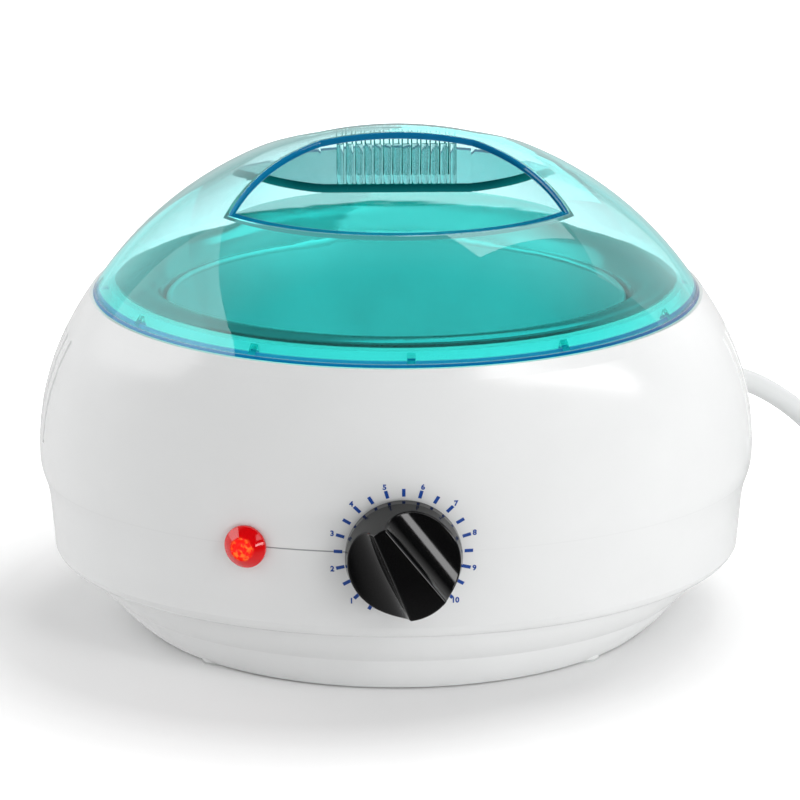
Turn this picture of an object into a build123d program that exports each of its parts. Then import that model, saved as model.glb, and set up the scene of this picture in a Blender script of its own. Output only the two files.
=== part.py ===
from build123d import *
import math
import os

# Wax warmer: an oval two-part casing with an aluminium heating well, a lift-out wax pot,
# a clear lid, a thermostat knob, a pilot lamp and a mains lead with its plug.
# Millimetres. Z is up, the table is Z = 0, the front with the knob is -Y and the grips are at +X and -X.
# The model is made around the axis of the well. The export at the end puts the origin on the table, under the
# middle of the box that the warmer itself fills.


# Running and assembly clearances
shaft_clearance = 0.05
fit_clearance = 0.2
curve_gap = 1.1

# Casing
casing_wall = 2.6
ring_radius = 88.5
ring_height = 0.6
band_bulge = 0.7
upper_crease_height = 20.0
upper_crease_half_width = 108.0
upper_crease_half_depth = 94.5
lower_crease_height = 10.5
lower_crease_half_width = upper_crease_half_width - 9.0
lower_crease_half_depth = upper_crease_half_depth - 3.0
wall_foot_height = 23.5
wall_foot_half_width = upper_crease_half_width + 7.5
waist_height = 38.0
waist_half_width = wall_foot_half_width + 1.1
seam_height = 48.8
belly_height = 55.5
belly_half_width = waist_half_width + 3.4
shoulder_height = 110.0
shoulder_radius = 102.1
crown_height = shoulder_height - 10.0
crown_half_depth = 103.0
front_half_depth = upper_crease_half_depth + 2.1
front_lean_height = 30.0
floor_height = 5.0
collar_radius = 94.2
collar_height = shoulder_height + 3.2
tongue_wall = 1.4
tongue_height = 2.0

# Grip grooves on both sides of the casing
groove_count = 6
groove_pitch = 5.2
groove_radius = 1.6
groove_depth = 0.7
groove_foot_height = 62.0
groove_top_height = shoulder_height - 12.0

# Posts, screws and rubber feet at the four corners
post_circle_radius = ring_radius - 4.5
post_radius = 4.0
post_foot_height = 16.0
boss_radius = 5.6
screw_radius = 1.7
screw_head_radius = 3.4
screw_head_height = 2.4
screw_seat_height = 10.0
screw_length = 14.0
foot_radius = 5.8
foot_stem_length = 4.0

# Heating well and its seal, spun from aluminium sheet
sheet = 1.0
flange_radius = 92.6
flange_rest_radius = 90.4
flange_rest_height = shoulder_height + 4.0
flange_crest_radius = 86.6
flange_crest_height = shoulder_height + 5.9
flange_bend_radius = 83.0
flange_bend_height = shoulder_height + 4.9
lip_radius = 77.6
lip_height = shoulder_height - 1.4
well_radius = 76.0
well_shoulder_height = shoulder_height - 7.0
well_floor_height = 55.0
well_corner = 8.0
deck_hole_radius = 84.0

# Wax pot
pot_wall = 1.0
pot_rim_radius = 75.4
pot_rim_bead = 1.0
pot_rim_height = shoulder_height - 1.5
pot_foot_radius = 70.5
pot_corner = 6.0

# Lid
lid_wall = 2.6
lid_rim_radius = 101.0
lid_apex_height = shoulder_height + 54.5
lid_edge_radius = 1.0
scoop_floor_height = shoulder_height + 34.0
grip_half_thickness = 7.4
grip_half_length = 25.0
scoop_corner_x = 54.6
scoop_corner_y = 40.0
scoop_mid_x = 41.5
scoop_mid_y = 19.5
rib_count = 13
rib_pitch = 3.08
rib_radius = 1.2
rib_foot_gap = 3.0
rib_top_gap = 4.0
nib_count = 12
nib_width = 2.6
nib_height = 5.0
nib_gap = 0.8
nib_turn = 1.4

# Knob, shaft and thermostat
knob_radius = 18.5
knob_face_radius = 16.0
knob_height = 16.0
knob_gap = 2.0
knob_wall = 2.0
knob_rim_height = 3.0
knob_bar_width = 8.4
knob_bar_taper = 8.0
knob_scoop_radius = 11.0
knob_scoop_depth = 9.0
knob_edge_radius = 0.8
knob_pointer_angle = 150.0
hub_radius = 5.5
shaft_radius = 3.0
shaft_flat = 0.8
shaft_engagement = 11.0
spring_thickness = 0.6
thermostat_gap = 0.9
thermostat_plate_width = 24.0
thermostat_plate_height = 36.0
thermostat_plate_thickness = 1.0
thermostat_screw_spacing = 28.0
thermostat_screw_radius = 1.9
thermostat_screw_head_radius = 3.0
thermostat_screw_head_height = 1.0
thermostat_screw_seat = 0.3
thermostat_cup_radius = 13.0
thermostat_cup_depth = 9.0
thermostat_collar_radius = 4.8
thermostat_block_width = 28.0
thermostat_block_height = 19.0
thermostat_block_depth = 16.0
thermostat_block_top = 2.5
tab_width = 6.3
tab_thickness = 0.8
tab_length = 8.0
tab_pitch = 12.0

# Temperature sensor
bulb_radius = 2.5
bulb_foot_height = well_floor_height + 7.0
bulb_length = well_shoulder_height - 3.0 - bulb_foot_height
bulb_angle = -68.0
capillary_radius = 0.8
capillary_bend = 4.0
capillary_drop = 6.0
clip_width = 8.0
clip_thickness = 0.8
clip_reach = 6.0
clip_height = bulb_foot_height + 22.0

# Heater under the well
heater_radius = 56.0
heater_thickness = 1.6
clamp_plate_radius = 52.0
clamp_plate_thickness = 1.2
stud_radius = 2.5
stud_length = 14.0
nut_width = 8.0
nut_thickness = 4.0
heater_tab_angles = [-150.0, -30.0]
fuse_radius = 2.0
fuse_length = 12.0
fuse_place_radius = 63.0
fuse_angle = -128.0

# Brackets that hold the well up against the deck
bracket_count = 4
bracket_width = 10.0
bracket_leg = 9.0
bracket_reach = 9.0
bracket_screw_radius = 1.4
bracket_screw_length = 5.0
bracket_boss_radius = 3.5
bracket_foot_height = shoulder_height - 20.0

# Pilot lamp
lamp_angle = -110.4
lens_radius = 6.5
lens_rim = 1.2
lens_dome = 2.6
lens_barrel_radius = 4.8
lens_barrel_length = 13.0
lens_bore_radius = 3.4
neon_radius = 2.8
neon_length = 8.0
lamp_plug_length = 4.0
lamp_gap = 0.8
retainer_radius = 7.5
retainer_thickness = 0.6

# Mains lead
cord_radius = 4.0
cord_exit_angle = 50.0
relief_flange_radius = 8.0
relief_flange_thickness = 2.5
relief_neck_radius = 6.2
relief_root_radius = 6.8
relief_tip_radius = 4.9
relief_length = 32.0
inner_cord_length = 26.0
clamp_distance = 12.0
clamp_length = 26.0
clamp_width = 8.0
clamp_bar_thickness = 3.0
clamp_screw_spacing = 17.0
clamp_screw_radius = 1.5
clamp_screw_head_radius = 2.8
clamp_screw_head_height = 1.8
clamp_screw_depth = 8.0
tie_thickness = 0.8
tie_width = 10.0
coil_pitch = 8.6
coil_outer_radius = 56.5
coil_half_turns = 4
coil_x = 213.0
coil_top_y = 131.0
coil_tie_gap = 0.4
tie_lag = 2.0
tie_y = 74.0
cord_lead_out = 16.0

# Terminal block and inner leads
terminal_x = 52.0
terminal_y = 14.0
terminal_width = 16.0
terminal_length = 33.0
terminal_height = 13.0
terminal_poles = 3
terminal_pitch = 10.0
terminal_screw_radius = 1.8
terminal_screw_height = 1.5
terminal_entry_height = 5.0
lead_radius = 1.1
lead_bend = 2.4
lead_spacing = 2.6
lead_drop = 8.0

# Plug
plug_radius = 18.5
plug_front_length = 10.0
plug_body_length = 38.0
plug_neck_radius = 11.0
plug_relief_length = 18.0
plug_relief_root_radius = 6.5
plug_pin_radius = 2.4
plug_pin_root_radius = 1.8
plug_pin_length = 19.0
plug_pin_spacing = 19.0
plug_pin_depth = 6.0
plug_notch_width = 6.0
plug_notch_depth = 3.5
plug_clip_thickness = 0.7
plug_clip_width = 4.0
plug_rest_gap = 0.2


def ramp(share):
    """Smooth step from 0 to 1."""
    share = min(max(share, 0.0), 1.0)
    return (1 - math.cos(math.pi * share)) / 2


def half_width(height):
    """Half of the casing along X at a height above the lower edge of its wall."""
    if height >= belly_height:
        rise = (height - belly_height) / (shoulder_height - belly_height)
        return belly_half_width - (belly_half_width - shoulder_radius) * rise**2.2
    if height >= waist_height:
        drop = (belly_height - height) / (belly_height - waist_height)
        return belly_half_width - (belly_half_width - waist_half_width) * ramp(drop)
    rise = (height - wall_foot_height) / (waist_height - wall_foot_height)
    return wall_foot_half_width + (waist_half_width - wall_foot_half_width) * rise


def half_depth(height):
    """Half of the casing along Y at a height above the lower edge of its wall."""
    if height >= crown_height:
        rise = (height - crown_height) / (shoulder_height - crown_height)
        return crown_half_depth - (crown_half_depth - shoulder_radius) * rise**2
    rise = max(height - front_lean_height, 0.0) / (crown_height - front_lean_height)
    return front_half_depth + (crown_half_depth - front_half_depth) * ramp(rise**1.4)


def wall_point(angle, height):
    """The point of the casing's wall whose level normal points along an angle from +X."""
    wide = half_width(height) * math.cos(math.radians(angle))
    deep = half_depth(height) * math.sin(math.radians(angle))
    reach = math.hypot(wide, deep)
    return Vector(half_width(height) * wide / reach, half_depth(height) * deep / reach, height)


def level(angle):
    """Unit vector in the level plane at an angle from +X."""
    return Vector(math.cos(math.radians(angle)), math.sin(math.radians(angle)), 0)


def ring_place(radius, angle, height):
    """Plane at a polar place, with its X axis pointing away from the middle."""
    return Plane(origin=level(angle) * radius + Vector(0, 0, height), x_dir=level(angle), z_dir=(0, 0, 1))


pieces = []

# Planes of the dial, the lamp and the lead's exit, each standing on the casing's outer wall
dial_lean = math.degrees(
    math.atan(
        (half_depth(seam_height + knob_radius) - half_depth(seam_height - knob_radius)) / (2 * knob_radius)
    )
)
dial_plane = Plane(
    origin=wall_point(-90, seam_height),
    x_dir=(1, 0, 0),
    z_dir=(0, -math.cos(math.radians(dial_lean)), -math.sin(math.radians(dial_lean))),
)
lamp_plane = Plane(
    origin=wall_point(lamp_angle, seam_height), x_dir=level(lamp_angle + 90), z_dir=level(lamp_angle)
)
exit_plane = Plane(
    origin=wall_point(cord_exit_angle, seam_height),
    x_dir=level(cord_exit_angle + 90),
    z_dir=level(cord_exit_angle),
)
corner_angles = [45, 135, 225, 315]

bracket_angles = [index * 360 / bracket_count for index in range(bracket_count)]
bracket_screw_place = well_radius + sheet + bracket_reach
clamp_pillar_foot = floor_height + casing_wall / 2
clamp_pillar_top = seam_height - cord_radius
clamp_pillar_plane = Plane(
    origin=(exit_plane * Pos(0, 0, -clamp_distance)).position - Vector(0, 0, seam_height - clamp_pillar_foot),
    x_dir=level(cord_exit_angle),
    z_dir=(0, 0, 1),
)

# Inner faces of the thermostat's stack, measured inwards from the dial plane
plate_front = casing_wall + thermostat_gap
plate_back = plate_front + thermostat_plate_thickness
cup_back = plate_back + thermostat_cup_depth


def foot_section(height):
    """Half width and half depth of the two bands between the foot ring and the wall."""
    if height <= lower_crease_height:
        rise = (height - ring_height) / (lower_crease_height - ring_height)
        start = (ring_radius, ring_radius)
        end = (lower_crease_half_width, lower_crease_half_depth)
    else:
        rise = (height - lower_crease_height) / (upper_crease_height - lower_crease_height)
        start = (lower_crease_half_width, lower_crease_half_depth)
        end = (upper_crease_half_width, upper_crease_half_depth)
    return start[0] + (end[0] - start[0]) * rise, start[1] + (end[1] - start[1]) * rise


# Tool solid for the dial, lamp and lead openings, which both casings share along the seam
with BuildPart() as wall_openings:
    with BuildSketch(dial_plane):
        Circle(thermostat_collar_radius + fit_clearance)
        with Locations((0, thermostat_screw_spacing / 2), (0, -thermostat_screw_spacing / 2)):
            Circle(thermostat_screw_radius + fit_clearance)
    extrude(amount=2 * casing_wall, both=True)
    with BuildSketch(dial_plane.offset(-thermostat_screw_seat)):
        with Locations((0, thermostat_screw_spacing / 2), (0, -thermostat_screw_spacing / 2)):
            Circle(thermostat_screw_head_radius + fit_clearance)
    extrude(amount=2 * casing_wall)
    with BuildSketch(lamp_plane):
        Circle(lens_barrel_radius + fit_clearance)
    extrude(amount=2 * casing_wall, both=True)
    with BuildSketch(exit_plane):
        Circle(relief_neck_radius + fit_clearance)
    extrude(amount=2 * casing_wall, both=True)

# Upper casing: a lofted oval shell that closes into the round shoulder and collar under the lid
upper_heights = [seam_height, belly_height, 64, 74, 84, 93, crown_height, 106]
deck_underside = collar_height - casing_wall
shoulder_underside = shoulder_height - casing_wall
bracket_top = bracket_foot_height + bracket_leg
with BuildPart() as upper_hollow:
    for height in upper_heights:
        with BuildSketch(Plane.XY.offset(height)):
            Ellipse(half_width(height) - casing_wall, half_depth(height) - casing_wall)
    loft()
    with BuildSketch(Plane.XY.offset(upper_heights[-1])):
        Ellipse(half_width(upper_heights[-1]) - casing_wall, half_depth(upper_heights[-1]) - casing_wall)
    with BuildSketch(Plane.XY.offset(shoulder_underside)):
        Circle(shoulder_radius - casing_wall)
    loft()
    with BuildSketch(Plane.XY.offset(shoulder_underside)):
        Circle(collar_radius - casing_wall)
    extrude(amount=deck_underside - shoulder_underside)

with BuildPart() as upper_casing:
    for height in upper_heights:
        with BuildSketch(Plane.XY.offset(height)):
            Ellipse(half_width(height), half_depth(height))
    loft()
    with BuildSketch(Plane.XY.offset(upper_heights[-1])):
        Ellipse(half_width(upper_heights[-1]), half_depth(upper_heights[-1]))
    with BuildSketch(Plane.XY.offset(shoulder_height)):
        Circle(shoulder_radius)
    loft()
    with BuildSketch(Plane.XY.offset(shoulder_height)):
        Circle(collar_radius)
    extrude(amount=collar_height - shoulder_height)
    add(upper_hollow.part, mode=Mode.SUBTRACT)
    with BuildSketch(Plane.XY.offset(deck_underside)):
        Circle(deck_hole_radius)
    extrude(amount=2 * casing_wall, mode=Mode.SUBTRACT)
    # Posts for the casing screws and short bosses for the well's brackets hang from the deck
    for angle in corner_angles:
        with BuildSketch(ring_place(post_circle_radius, angle, post_foot_height)):
            Circle(post_radius)
        extrude(amount=deck_underside - post_foot_height)
        with BuildSketch(ring_place(post_circle_radius, angle, post_foot_height)):
            Circle(screw_radius + shaft_clearance)
        extrude(amount=screw_length, mode=Mode.SUBTRACT)
    for angle in bracket_angles:
        with BuildSketch(ring_place(bracket_screw_place, angle, bracket_top)):
            Circle(bracket_boss_radius)
        extrude(amount=deck_underside - bracket_top)
        with BuildSketch(ring_place(bracket_screw_place, angle, bracket_top)):
            Circle(bracket_screw_radius + shaft_clearance)
        extrude(amount=bracket_screw_length, mode=Mode.SUBTRACT)
    add(wall_openings.part, mode=Mode.SUBTRACT)
    # Finger grooves run down both grips
    groove_heights = [groove_foot_height, (groove_foot_height + groove_top_height) / 2, groove_top_height]
    for side in (0, 180):
        for index in range(groove_count):
            angle = side + (index - (groove_count - 1) / 2) * groove_pitch
            outward = level(angle) * (groove_radius - groove_depth)
            groove_points = [wall_point(angle, height) + outward for height in groove_heights]
            with BuildLine() as groove_line:
                ThreePointArc(*groove_points)
            with BuildSketch(Plane(origin=groove_line.line @ 0, z_dir=groove_line.line % 0)):
                Circle(groove_radius)
            sweep(path=groove_line.line, mode=Mode.SUBTRACT)
upper_casing.part.label = "upper_casing"
pieces.append(upper_casing.part)

# Lower casing: a tub with a round foot ring, two creased bands and a wall up to the seam
lower_heights = [wall_foot_height, 30, waist_height, 43, seam_height]
band_heights = [(ring_height, lower_crease_height), (lower_crease_height, upper_crease_height)]
crease_round_height = (upper_crease_height + wall_foot_height) / 2 - 0.6
wall_inside_foot = wall_foot_height + casing_wall / 2
inner_floor = floor_height + casing_wall
with BuildPart() as lower_hollow:
    for height in (inner_floor, lower_crease_height):
        with BuildSketch(Plane.XY.offset(height)):
            wide, deep = foot_section(height)
            Ellipse(wide - casing_wall, deep - casing_wall)
    loft()
    with BuildSketch(Plane.XY.offset(lower_crease_height)):
        Ellipse(lower_crease_half_width - casing_wall, lower_crease_half_depth - casing_wall)
    with BuildSketch(Plane.XY.offset(upper_crease_height + casing_wall / 2)):
        Ellipse(upper_crease_half_width - casing_wall, upper_crease_half_depth - casing_wall)
    loft()
    with BuildSketch(Plane.XY.offset(upper_crease_height + casing_wall / 2)):
        Ellipse(upper_crease_half_width - casing_wall, upper_crease_half_depth - casing_wall)
    with BuildSketch(Plane.XY.offset(wall_inside_foot)):
        Ellipse(half_width(wall_inside_foot) - casing_wall, half_depth(wall_inside_foot) - casing_wall)
    loft()
    for height in [wall_inside_foot] + lower_heights[1:]:
        with BuildSketch(Plane.XY.offset(height)):
            Ellipse(half_width(height) - casing_wall, half_depth(height) - casing_wall)
    loft()

with BuildPart() as lower_casing:
    # Each band bulges a little between its two edges
    for foot_height, top_height in band_heights:
        middle_height = (foot_height + 2 * top_height) / 3
        for height, bulge in ((foot_height, 0), (middle_height, band_bulge), (top_height, 0)):
            with BuildSketch(Plane.XY.offset(height)):
                wide, deep = foot_section(height)
                Ellipse(wide + bulge, deep + bulge)
        loft()
    with BuildSketch(Plane.XY.offset(upper_crease_height)):
        Ellipse(upper_crease_half_width, upper_crease_half_depth)
    with BuildSketch(Plane.XY.offset(crease_round_height)):
        Ellipse(
            (upper_crease_half_width + 3 * wall_foot_half_width) / 4,
            (upper_crease_half_depth + 3 * front_half_depth) / 4,
        )
    with BuildSketch(Plane.XY.offset(wall_foot_height)):
        Ellipse(wall_foot_half_width, front_half_depth)
    loft()
    for height in lower_heights:
        with BuildSketch(Plane.XY.offset(height)):
            Ellipse(half_width(height), half_depth(height))
    loft()
    add(lower_hollow.part, mode=Mode.SUBTRACT)
    with BuildSketch(Plane.XY.offset(ring_height)):
        Circle(ring_radius - casing_wall)
    extrude(amount=floor_height - ring_height, mode=Mode.SUBTRACT)
    # The tongue stands inside the upper casing's wall, and is left out round the three openings
    with BuildSketch(Plane.XY.offset(seam_height - 2 * tongue_height)):
        Ellipse(
            half_width(seam_height) - casing_wall + tongue_wall / 2,
            half_depth(seam_height) - casing_wall + tongue_wall / 2,
        )
        Ellipse(
            half_width(seam_height) - casing_wall - fit_clearance - tongue_wall,
            half_depth(seam_height) - casing_wall - fit_clearance - tongue_wall,
            mode=Mode.SUBTRACT,
        )
    extrude(amount=2 * tongue_height)
    with BuildSketch(Plane.XY.offset(seam_height)):
        Ellipse(
            half_width(seam_height) - casing_wall - fit_clearance,
            half_depth(seam_height) - casing_wall - fit_clearance,
        )
        Ellipse(
            half_width(seam_height) - casing_wall - fit_clearance - tongue_wall,
            half_depth(seam_height) - casing_wall - fit_clearance - tongue_wall,
            mode=Mode.SUBTRACT,
        )
    extrude(amount=tongue_height)
    with BuildSketch(dial_plane.offset(-casing_wall - fit_clearance)):
        Rectangle(thermostat_block_width + 4 * fit_clearance, thermostat_plate_height + 4 * fit_clearance)
    extrude(amount=-3 * casing_wall, mode=Mode.SUBTRACT)
    with BuildSketch(lamp_plane.offset(-casing_wall - fit_clearance)):
        Circle(retainer_radius + fit_clearance)
    extrude(amount=-3 * casing_wall, mode=Mode.SUBTRACT)
    with BuildSketch(exit_plane.offset(-casing_wall - fit_clearance)):
        Circle(relief_flange_radius + fit_clearance)
    extrude(amount=-3 * casing_wall, mode=Mode.SUBTRACT)
    # Corner bosses carry the posts, the screw heads and the stems of the rubber feet
    for angle in corner_angles:
        with BuildSketch(ring_place(post_circle_radius, angle, ring_height)):
            Circle(boss_radius)
        extrude(amount=post_foot_height - ring_height)
        with BuildSketch(ring_place(post_circle_radius, angle, ring_height)):
            Circle(screw_head_radius + fit_clearance)
        extrude(amount=screw_seat_height - ring_height, mode=Mode.SUBTRACT)
        with BuildSketch(ring_place(post_circle_radius, angle, screw_seat_height)):
            Circle(screw_radius + fit_clearance)
        extrude(amount=post_foot_height - screw_seat_height, mode=Mode.SUBTRACT)
    # The pillar under the lead's clamp
    with BuildSketch(clamp_pillar_plane):
        Rectangle(clamp_width, clamp_length)
    extrude(amount=clamp_pillar_top - clamp_pillar_foot)
    with BuildSketch(clamp_pillar_plane.offset(clamp_pillar_top - clamp_pillar_foot)):
        with Locations((0, clamp_screw_spacing / 2), (0, -clamp_screw_spacing / 2)):
            Circle(clamp_screw_radius + shaft_clearance)
    extrude(amount=-clamp_screw_depth, mode=Mode.SUBTRACT)
    add(wall_openings.part, mode=Mode.SUBTRACT)
lower_casing.part.label = "lower_casing"
pieces.append(lower_casing.part)

# Rubber feet: each has a stem that plugs the screw hole in its boss
foot_names = ["foot_back_right", "foot_back_left", "foot_front_left", "foot_front_right"]
for foot_name, angle in zip(foot_names, corner_angles):
    with BuildPart() as foot:
        with BuildSketch(ring_place(post_circle_radius, angle, 0)):
            Circle(foot_radius)
        extrude(amount=ring_height)
        fillet(foot.edges().group_by(Axis.Z)[0], ring_height / 4)
        with BuildSketch(ring_place(post_circle_radius, angle, ring_height)):
            Circle(screw_head_radius)
        extrude(amount=foot_stem_length)
    foot.part.label = foot_name
    pieces.append(foot.part)

# Casing screws: pan heads sit in the bosses, shanks run up into the posts
with BuildPart() as casing_screws:
    for angle in corner_angles:
        with BuildSketch(ring_place(post_circle_radius, angle, screw_seat_height - screw_head_height)):
            Circle(screw_head_radius)
        extrude(amount=screw_head_height)
        with BuildSketch(ring_place(post_circle_radius, angle, screw_seat_height)):
            Circle(screw_radius)
        extrude(amount=screw_length)
casing_screws.part.label = "casing_screws"
pieces.append(casing_screws.part)

# Heating well: one spun sheet with a convex flange that rests on the collar's seal
flange_top = flange_rest_height + sheet
well_floor_top = well_floor_height + sheet
with BuildPart() as heating_well:
    with BuildSketch(Plane.XZ):
        with BuildLine() as well_line:
            rest = Line((flange_radius, flange_top), (flange_rest_radius, flange_top))
            crest = ThreePointArc(
                rest @ 1, (flange_crest_radius, flange_crest_height), (flange_bend_radius, flange_bend_height)
            )
            lip = TangentArc(crest @ 1, (lip_radius, lip_height), tangent=crest % 1)
            shoulder = Line(lip @ 1, (well_radius, well_shoulder_height))
            FilletPolyline(
                shoulder @ 1,
                (well_radius, well_floor_top),
                (0, well_floor_top),
                radius=well_corner,
            )
            offset(amount=sheet, side=Side.LEFT)
        make_face()
    revolve(axis=Axis.Z)
heating_well.part.label = "heating_well"
pieces.append(heating_well.part)

# Silicone seal between the flange and the collar
with BuildPart() as well_seal:
    with BuildSketch(Plane.XY.offset(collar_height)):
        Circle(flange_radius - fit_clearance)
        Circle(flange_rest_radius + fit_clearance, mode=Mode.SUBTRACT)
    extrude(amount=flange_rest_height - collar_height)
well_seal.part.label = "well_seal"
pieces.append(well_seal.part)

# Brackets: an angle of steel strip on the well's wall, screwed up into the deck's bosses
with BuildPart() as well_brackets:
    for angle in bracket_angles:
        with BuildSketch(ring_place(well_radius + sheet + sheet / 2, angle, bracket_foot_height)):
            Rectangle(sheet, bracket_width)
        extrude(amount=bracket_leg)
        with BuildSketch(ring_place(bracket_screw_place - bracket_reach / 4, angle, bracket_top - sheet)):
            Rectangle(bracket_reach * 3 / 2, bracket_width)
        extrude(amount=sheet)
        with BuildSketch(ring_place(bracket_screw_place, angle, bracket_top - sheet)):
            Circle(bracket_screw_radius + shaft_clearance)
        extrude(amount=sheet, mode=Mode.SUBTRACT)
well_brackets.part.label = "well_brackets"
pieces.append(well_brackets.part)

with BuildPart() as bracket_screws:
    for angle in bracket_angles:
        with BuildSketch(ring_place(bracket_screw_place, angle, bracket_top - sheet)):
            Circle(bracket_screw_radius)
        extrude(amount=bracket_screw_length)
        with BuildSketch(ring_place(bracket_screw_place, angle, bracket_top - sheet)):
            Circle(2 * bracket_screw_radius)
        extrude(amount=-bracket_screw_radius)
bracket_screws.part.label = "bracket_screws"
pieces.append(bracket_screws.part)

# Wax pot: a spun cup with a beaded rim that lifts out of the well
pot_foot_height = well_floor_top + fit_clearance
with BuildPart() as wax_pot:
    with BuildSketch(Plane.XZ):
        with BuildLine():
            FilletPolyline(
                (pot_rim_radius - pot_wall / 2, pot_rim_height - pot_rim_bead),
                (pot_foot_radius - pot_wall / 2, pot_foot_height + pot_wall),
                (0, pot_foot_height + pot_wall),
                radius=pot_corner,
            )
            offset(amount=pot_wall, side=Side.LEFT)
        make_face()
        with Locations((pot_rim_radius, pot_rim_height - pot_rim_bead)):
            Circle(pot_rim_bead)
    revolve(axis=Axis.Z)
wax_pot.part.label = "wax_pot"
pieces.append(wax_pot.part)

# Lid: a clear dome with two finger scoops that leave a ribbed bar to hold
lid_foot_height = shoulder_height + fit_clearance
lid_rise = lid_apex_height - lid_foot_height
dome_radius = (lid_rim_radius**2 + lid_rise**2) / (2 * lid_rise)
dome_centre = lid_apex_height - dome_radius
rib_foot_height = scoop_floor_height + rib_foot_gap
nib_inner_radius = collar_radius + nib_gap


def dome_reach(height):
    """Radius of the dome's outer face at a height."""
    return math.sqrt(dome_radius**2 - (height - dome_centre) ** 2)


with BuildSketch() as scoop_outline:
    with BuildLine():
        bar = Line((-grip_half_length, -grip_half_thickness), (grip_half_length, -grip_half_thickness))
        right = ThreePointArc(bar @ 1, (scoop_mid_x, -scoop_mid_y), (scoop_corner_x, -scoop_corner_y))
        left = ThreePointArc(bar @ 0, (-scoop_mid_x, -scoop_mid_y), (-scoop_corner_x, -scoop_corner_y))
        Polyline(right @ 1, (scoop_corner_x, -dome_radius), (-scoop_corner_x, -dome_radius), left @ 1)
    make_face()
    mirror(about=Plane.XZ)

with BuildPart() as lid_hollow:
    with BuildSketch(Plane.XZ):
        with BuildLine():
            hollow_reach = math.sqrt((dome_radius - lid_wall) ** 2 - (lid_foot_height - dome_centre) ** 2)
            arch = RadiusArc(
                (0, lid_apex_height - lid_wall), (hollow_reach, lid_foot_height), dome_radius - lid_wall
            )
            Polyline(arch @ 1, (0, lid_foot_height), arch @ 0)
        make_face()
    revolve(axis=Axis.Z)
    with BuildSketch(Plane.XY.offset(scoop_floor_height - lid_wall)):
        add(scoop_outline.sketch)
        offset(amount=lid_wall)
    extrude(amount=lid_rise, mode=Mode.SUBTRACT)

with BuildPart() as lid:
    with BuildSketch(Plane.XZ):
        with BuildLine():
            arch = RadiusArc((0, lid_apex_height), (lid_rim_radius, lid_foot_height), dome_radius)
            Polyline(arch @ 1, (0, lid_foot_height), arch @ 0)
        make_face()
    revolve(axis=Axis.Z)
    with BuildSketch(Plane.XY.offset(scoop_floor_height)):
        add(scoop_outline.sketch)
    extrude(amount=lid_rise, mode=Mode.SUBTRACT)
    add(lid_hollow.part, mode=Mode.SUBTRACT)
    # Half-round ribs stand on both faces of the bar
    for side in (-1, 1):
        with BuildSketch(Plane.XY.offset(rib_foot_height)):
            with Locations((0, side * grip_half_thickness)):
                with GridLocations(rib_pitch, 1, rib_count, 1):
                    Circle(rib_radius)
        extrude(amount=lid_apex_height - rib_top_gap - rib_foot_height)
    # Short nibs inside the rim centre the lid on the casing's collar
    nib_top_height = lid_foot_height + nib_height
    for index in range(nib_count):
        angle = index * 360 / nib_count + nib_turn
        with BuildSketch(Plane(origin=(0, 0, 0), x_dir=level(angle), z_dir=level(angle - 90))):
            with BuildLine():
                Polyline(
                    (nib_inner_radius, lid_foot_height),
                    (lid_rim_radius - lid_wall / 2, lid_foot_height),
                    (dome_reach(nib_top_height) - lid_wall / 2, nib_top_height),
                    close=True,
                )
            make_face()
        extrude(amount=nib_width / 2, both=True)
    # The scoops' edges on the dome are rounded
    scoop_edges = [
        edge
        for edge in lid.edges()
        if abs(edge.center().Y) > grip_half_thickness / 2
        and min(edge.bounding_box().min.Z, edge.center().Z) > scoop_floor_height - fit_clearance
        and all(
            abs((edge @ share - Vector(0, 0, dome_centre)).length - dome_radius) < shaft_clearance
            for share in (0, 0.5, 1)
        )
    ]
    fillet(scoop_edges, lid_edge_radius)
lid.part.label = "lid"
pieces.append(lid.part)

# Thermostat: a plate screwed behind the wall carries a round cup and a terminal block
with BuildPart() as thermostat_body:
    with BuildSketch(dial_plane.offset(-plate_back)):
        Circle(thermostat_cup_radius)
    extrude(amount=-thermostat_cup_depth)
    with BuildSketch(dial_plane.offset(-cup_back)):
        with Locations((0, thermostat_block_top - thermostat_block_height / 2)):
            Rectangle(thermostat_block_width, thermostat_block_height)
    extrude(amount=-thermostat_block_depth)
    with BuildSketch(dial_plane.offset(-plate_back)):
        Circle(thermostat_collar_radius)
    extrude(amount=plate_back)
    with BuildSketch(dial_plane):
        Circle(shaft_radius + shaft_clearance)
    extrude(amount=-cup_back, mode=Mode.SUBTRACT)
thermostat_body.part.label = "thermostat_body"
pieces.append(thermostat_body.part)

with BuildPart() as thermostat_plate:
    with BuildSketch(dial_plane.offset(-plate_front)):
        RectangleRounded(thermostat_plate_width, thermostat_plate_height, thermostat_screw_head_radius)
        Circle(thermostat_collar_radius, mode=Mode.SUBTRACT)
        with Locations((0, thermostat_screw_spacing / 2), (0, -thermostat_screw_spacing / 2)):
            Circle(thermostat_screw_radius + shaft_clearance, mode=Mode.SUBTRACT)
    extrude(amount=-thermostat_plate_thickness)
thermostat_plate.part.label = "thermostat_plate"
pieces.append(thermostat_plate.part)

with BuildPart() as thermostat_screws:
    for side in (-1, 1):
        with BuildSketch(dial_plane.offset(-thermostat_screw_seat)):
            with Locations((0, side * thermostat_screw_spacing / 2)):
                Circle(thermostat_screw_head_radius)
        extrude(amount=thermostat_screw_head_height)
        with BuildSketch(dial_plane.offset(-thermostat_screw_seat)):
            with Locations((0, side * thermostat_screw_spacing / 2)):
                Circle(thermostat_screw_radius)
        extrude(amount=thermostat_screw_seat - plate_back)
thermostat_screws.part.label = "thermostat_screws"
pieces.append(thermostat_screws.part)

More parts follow.
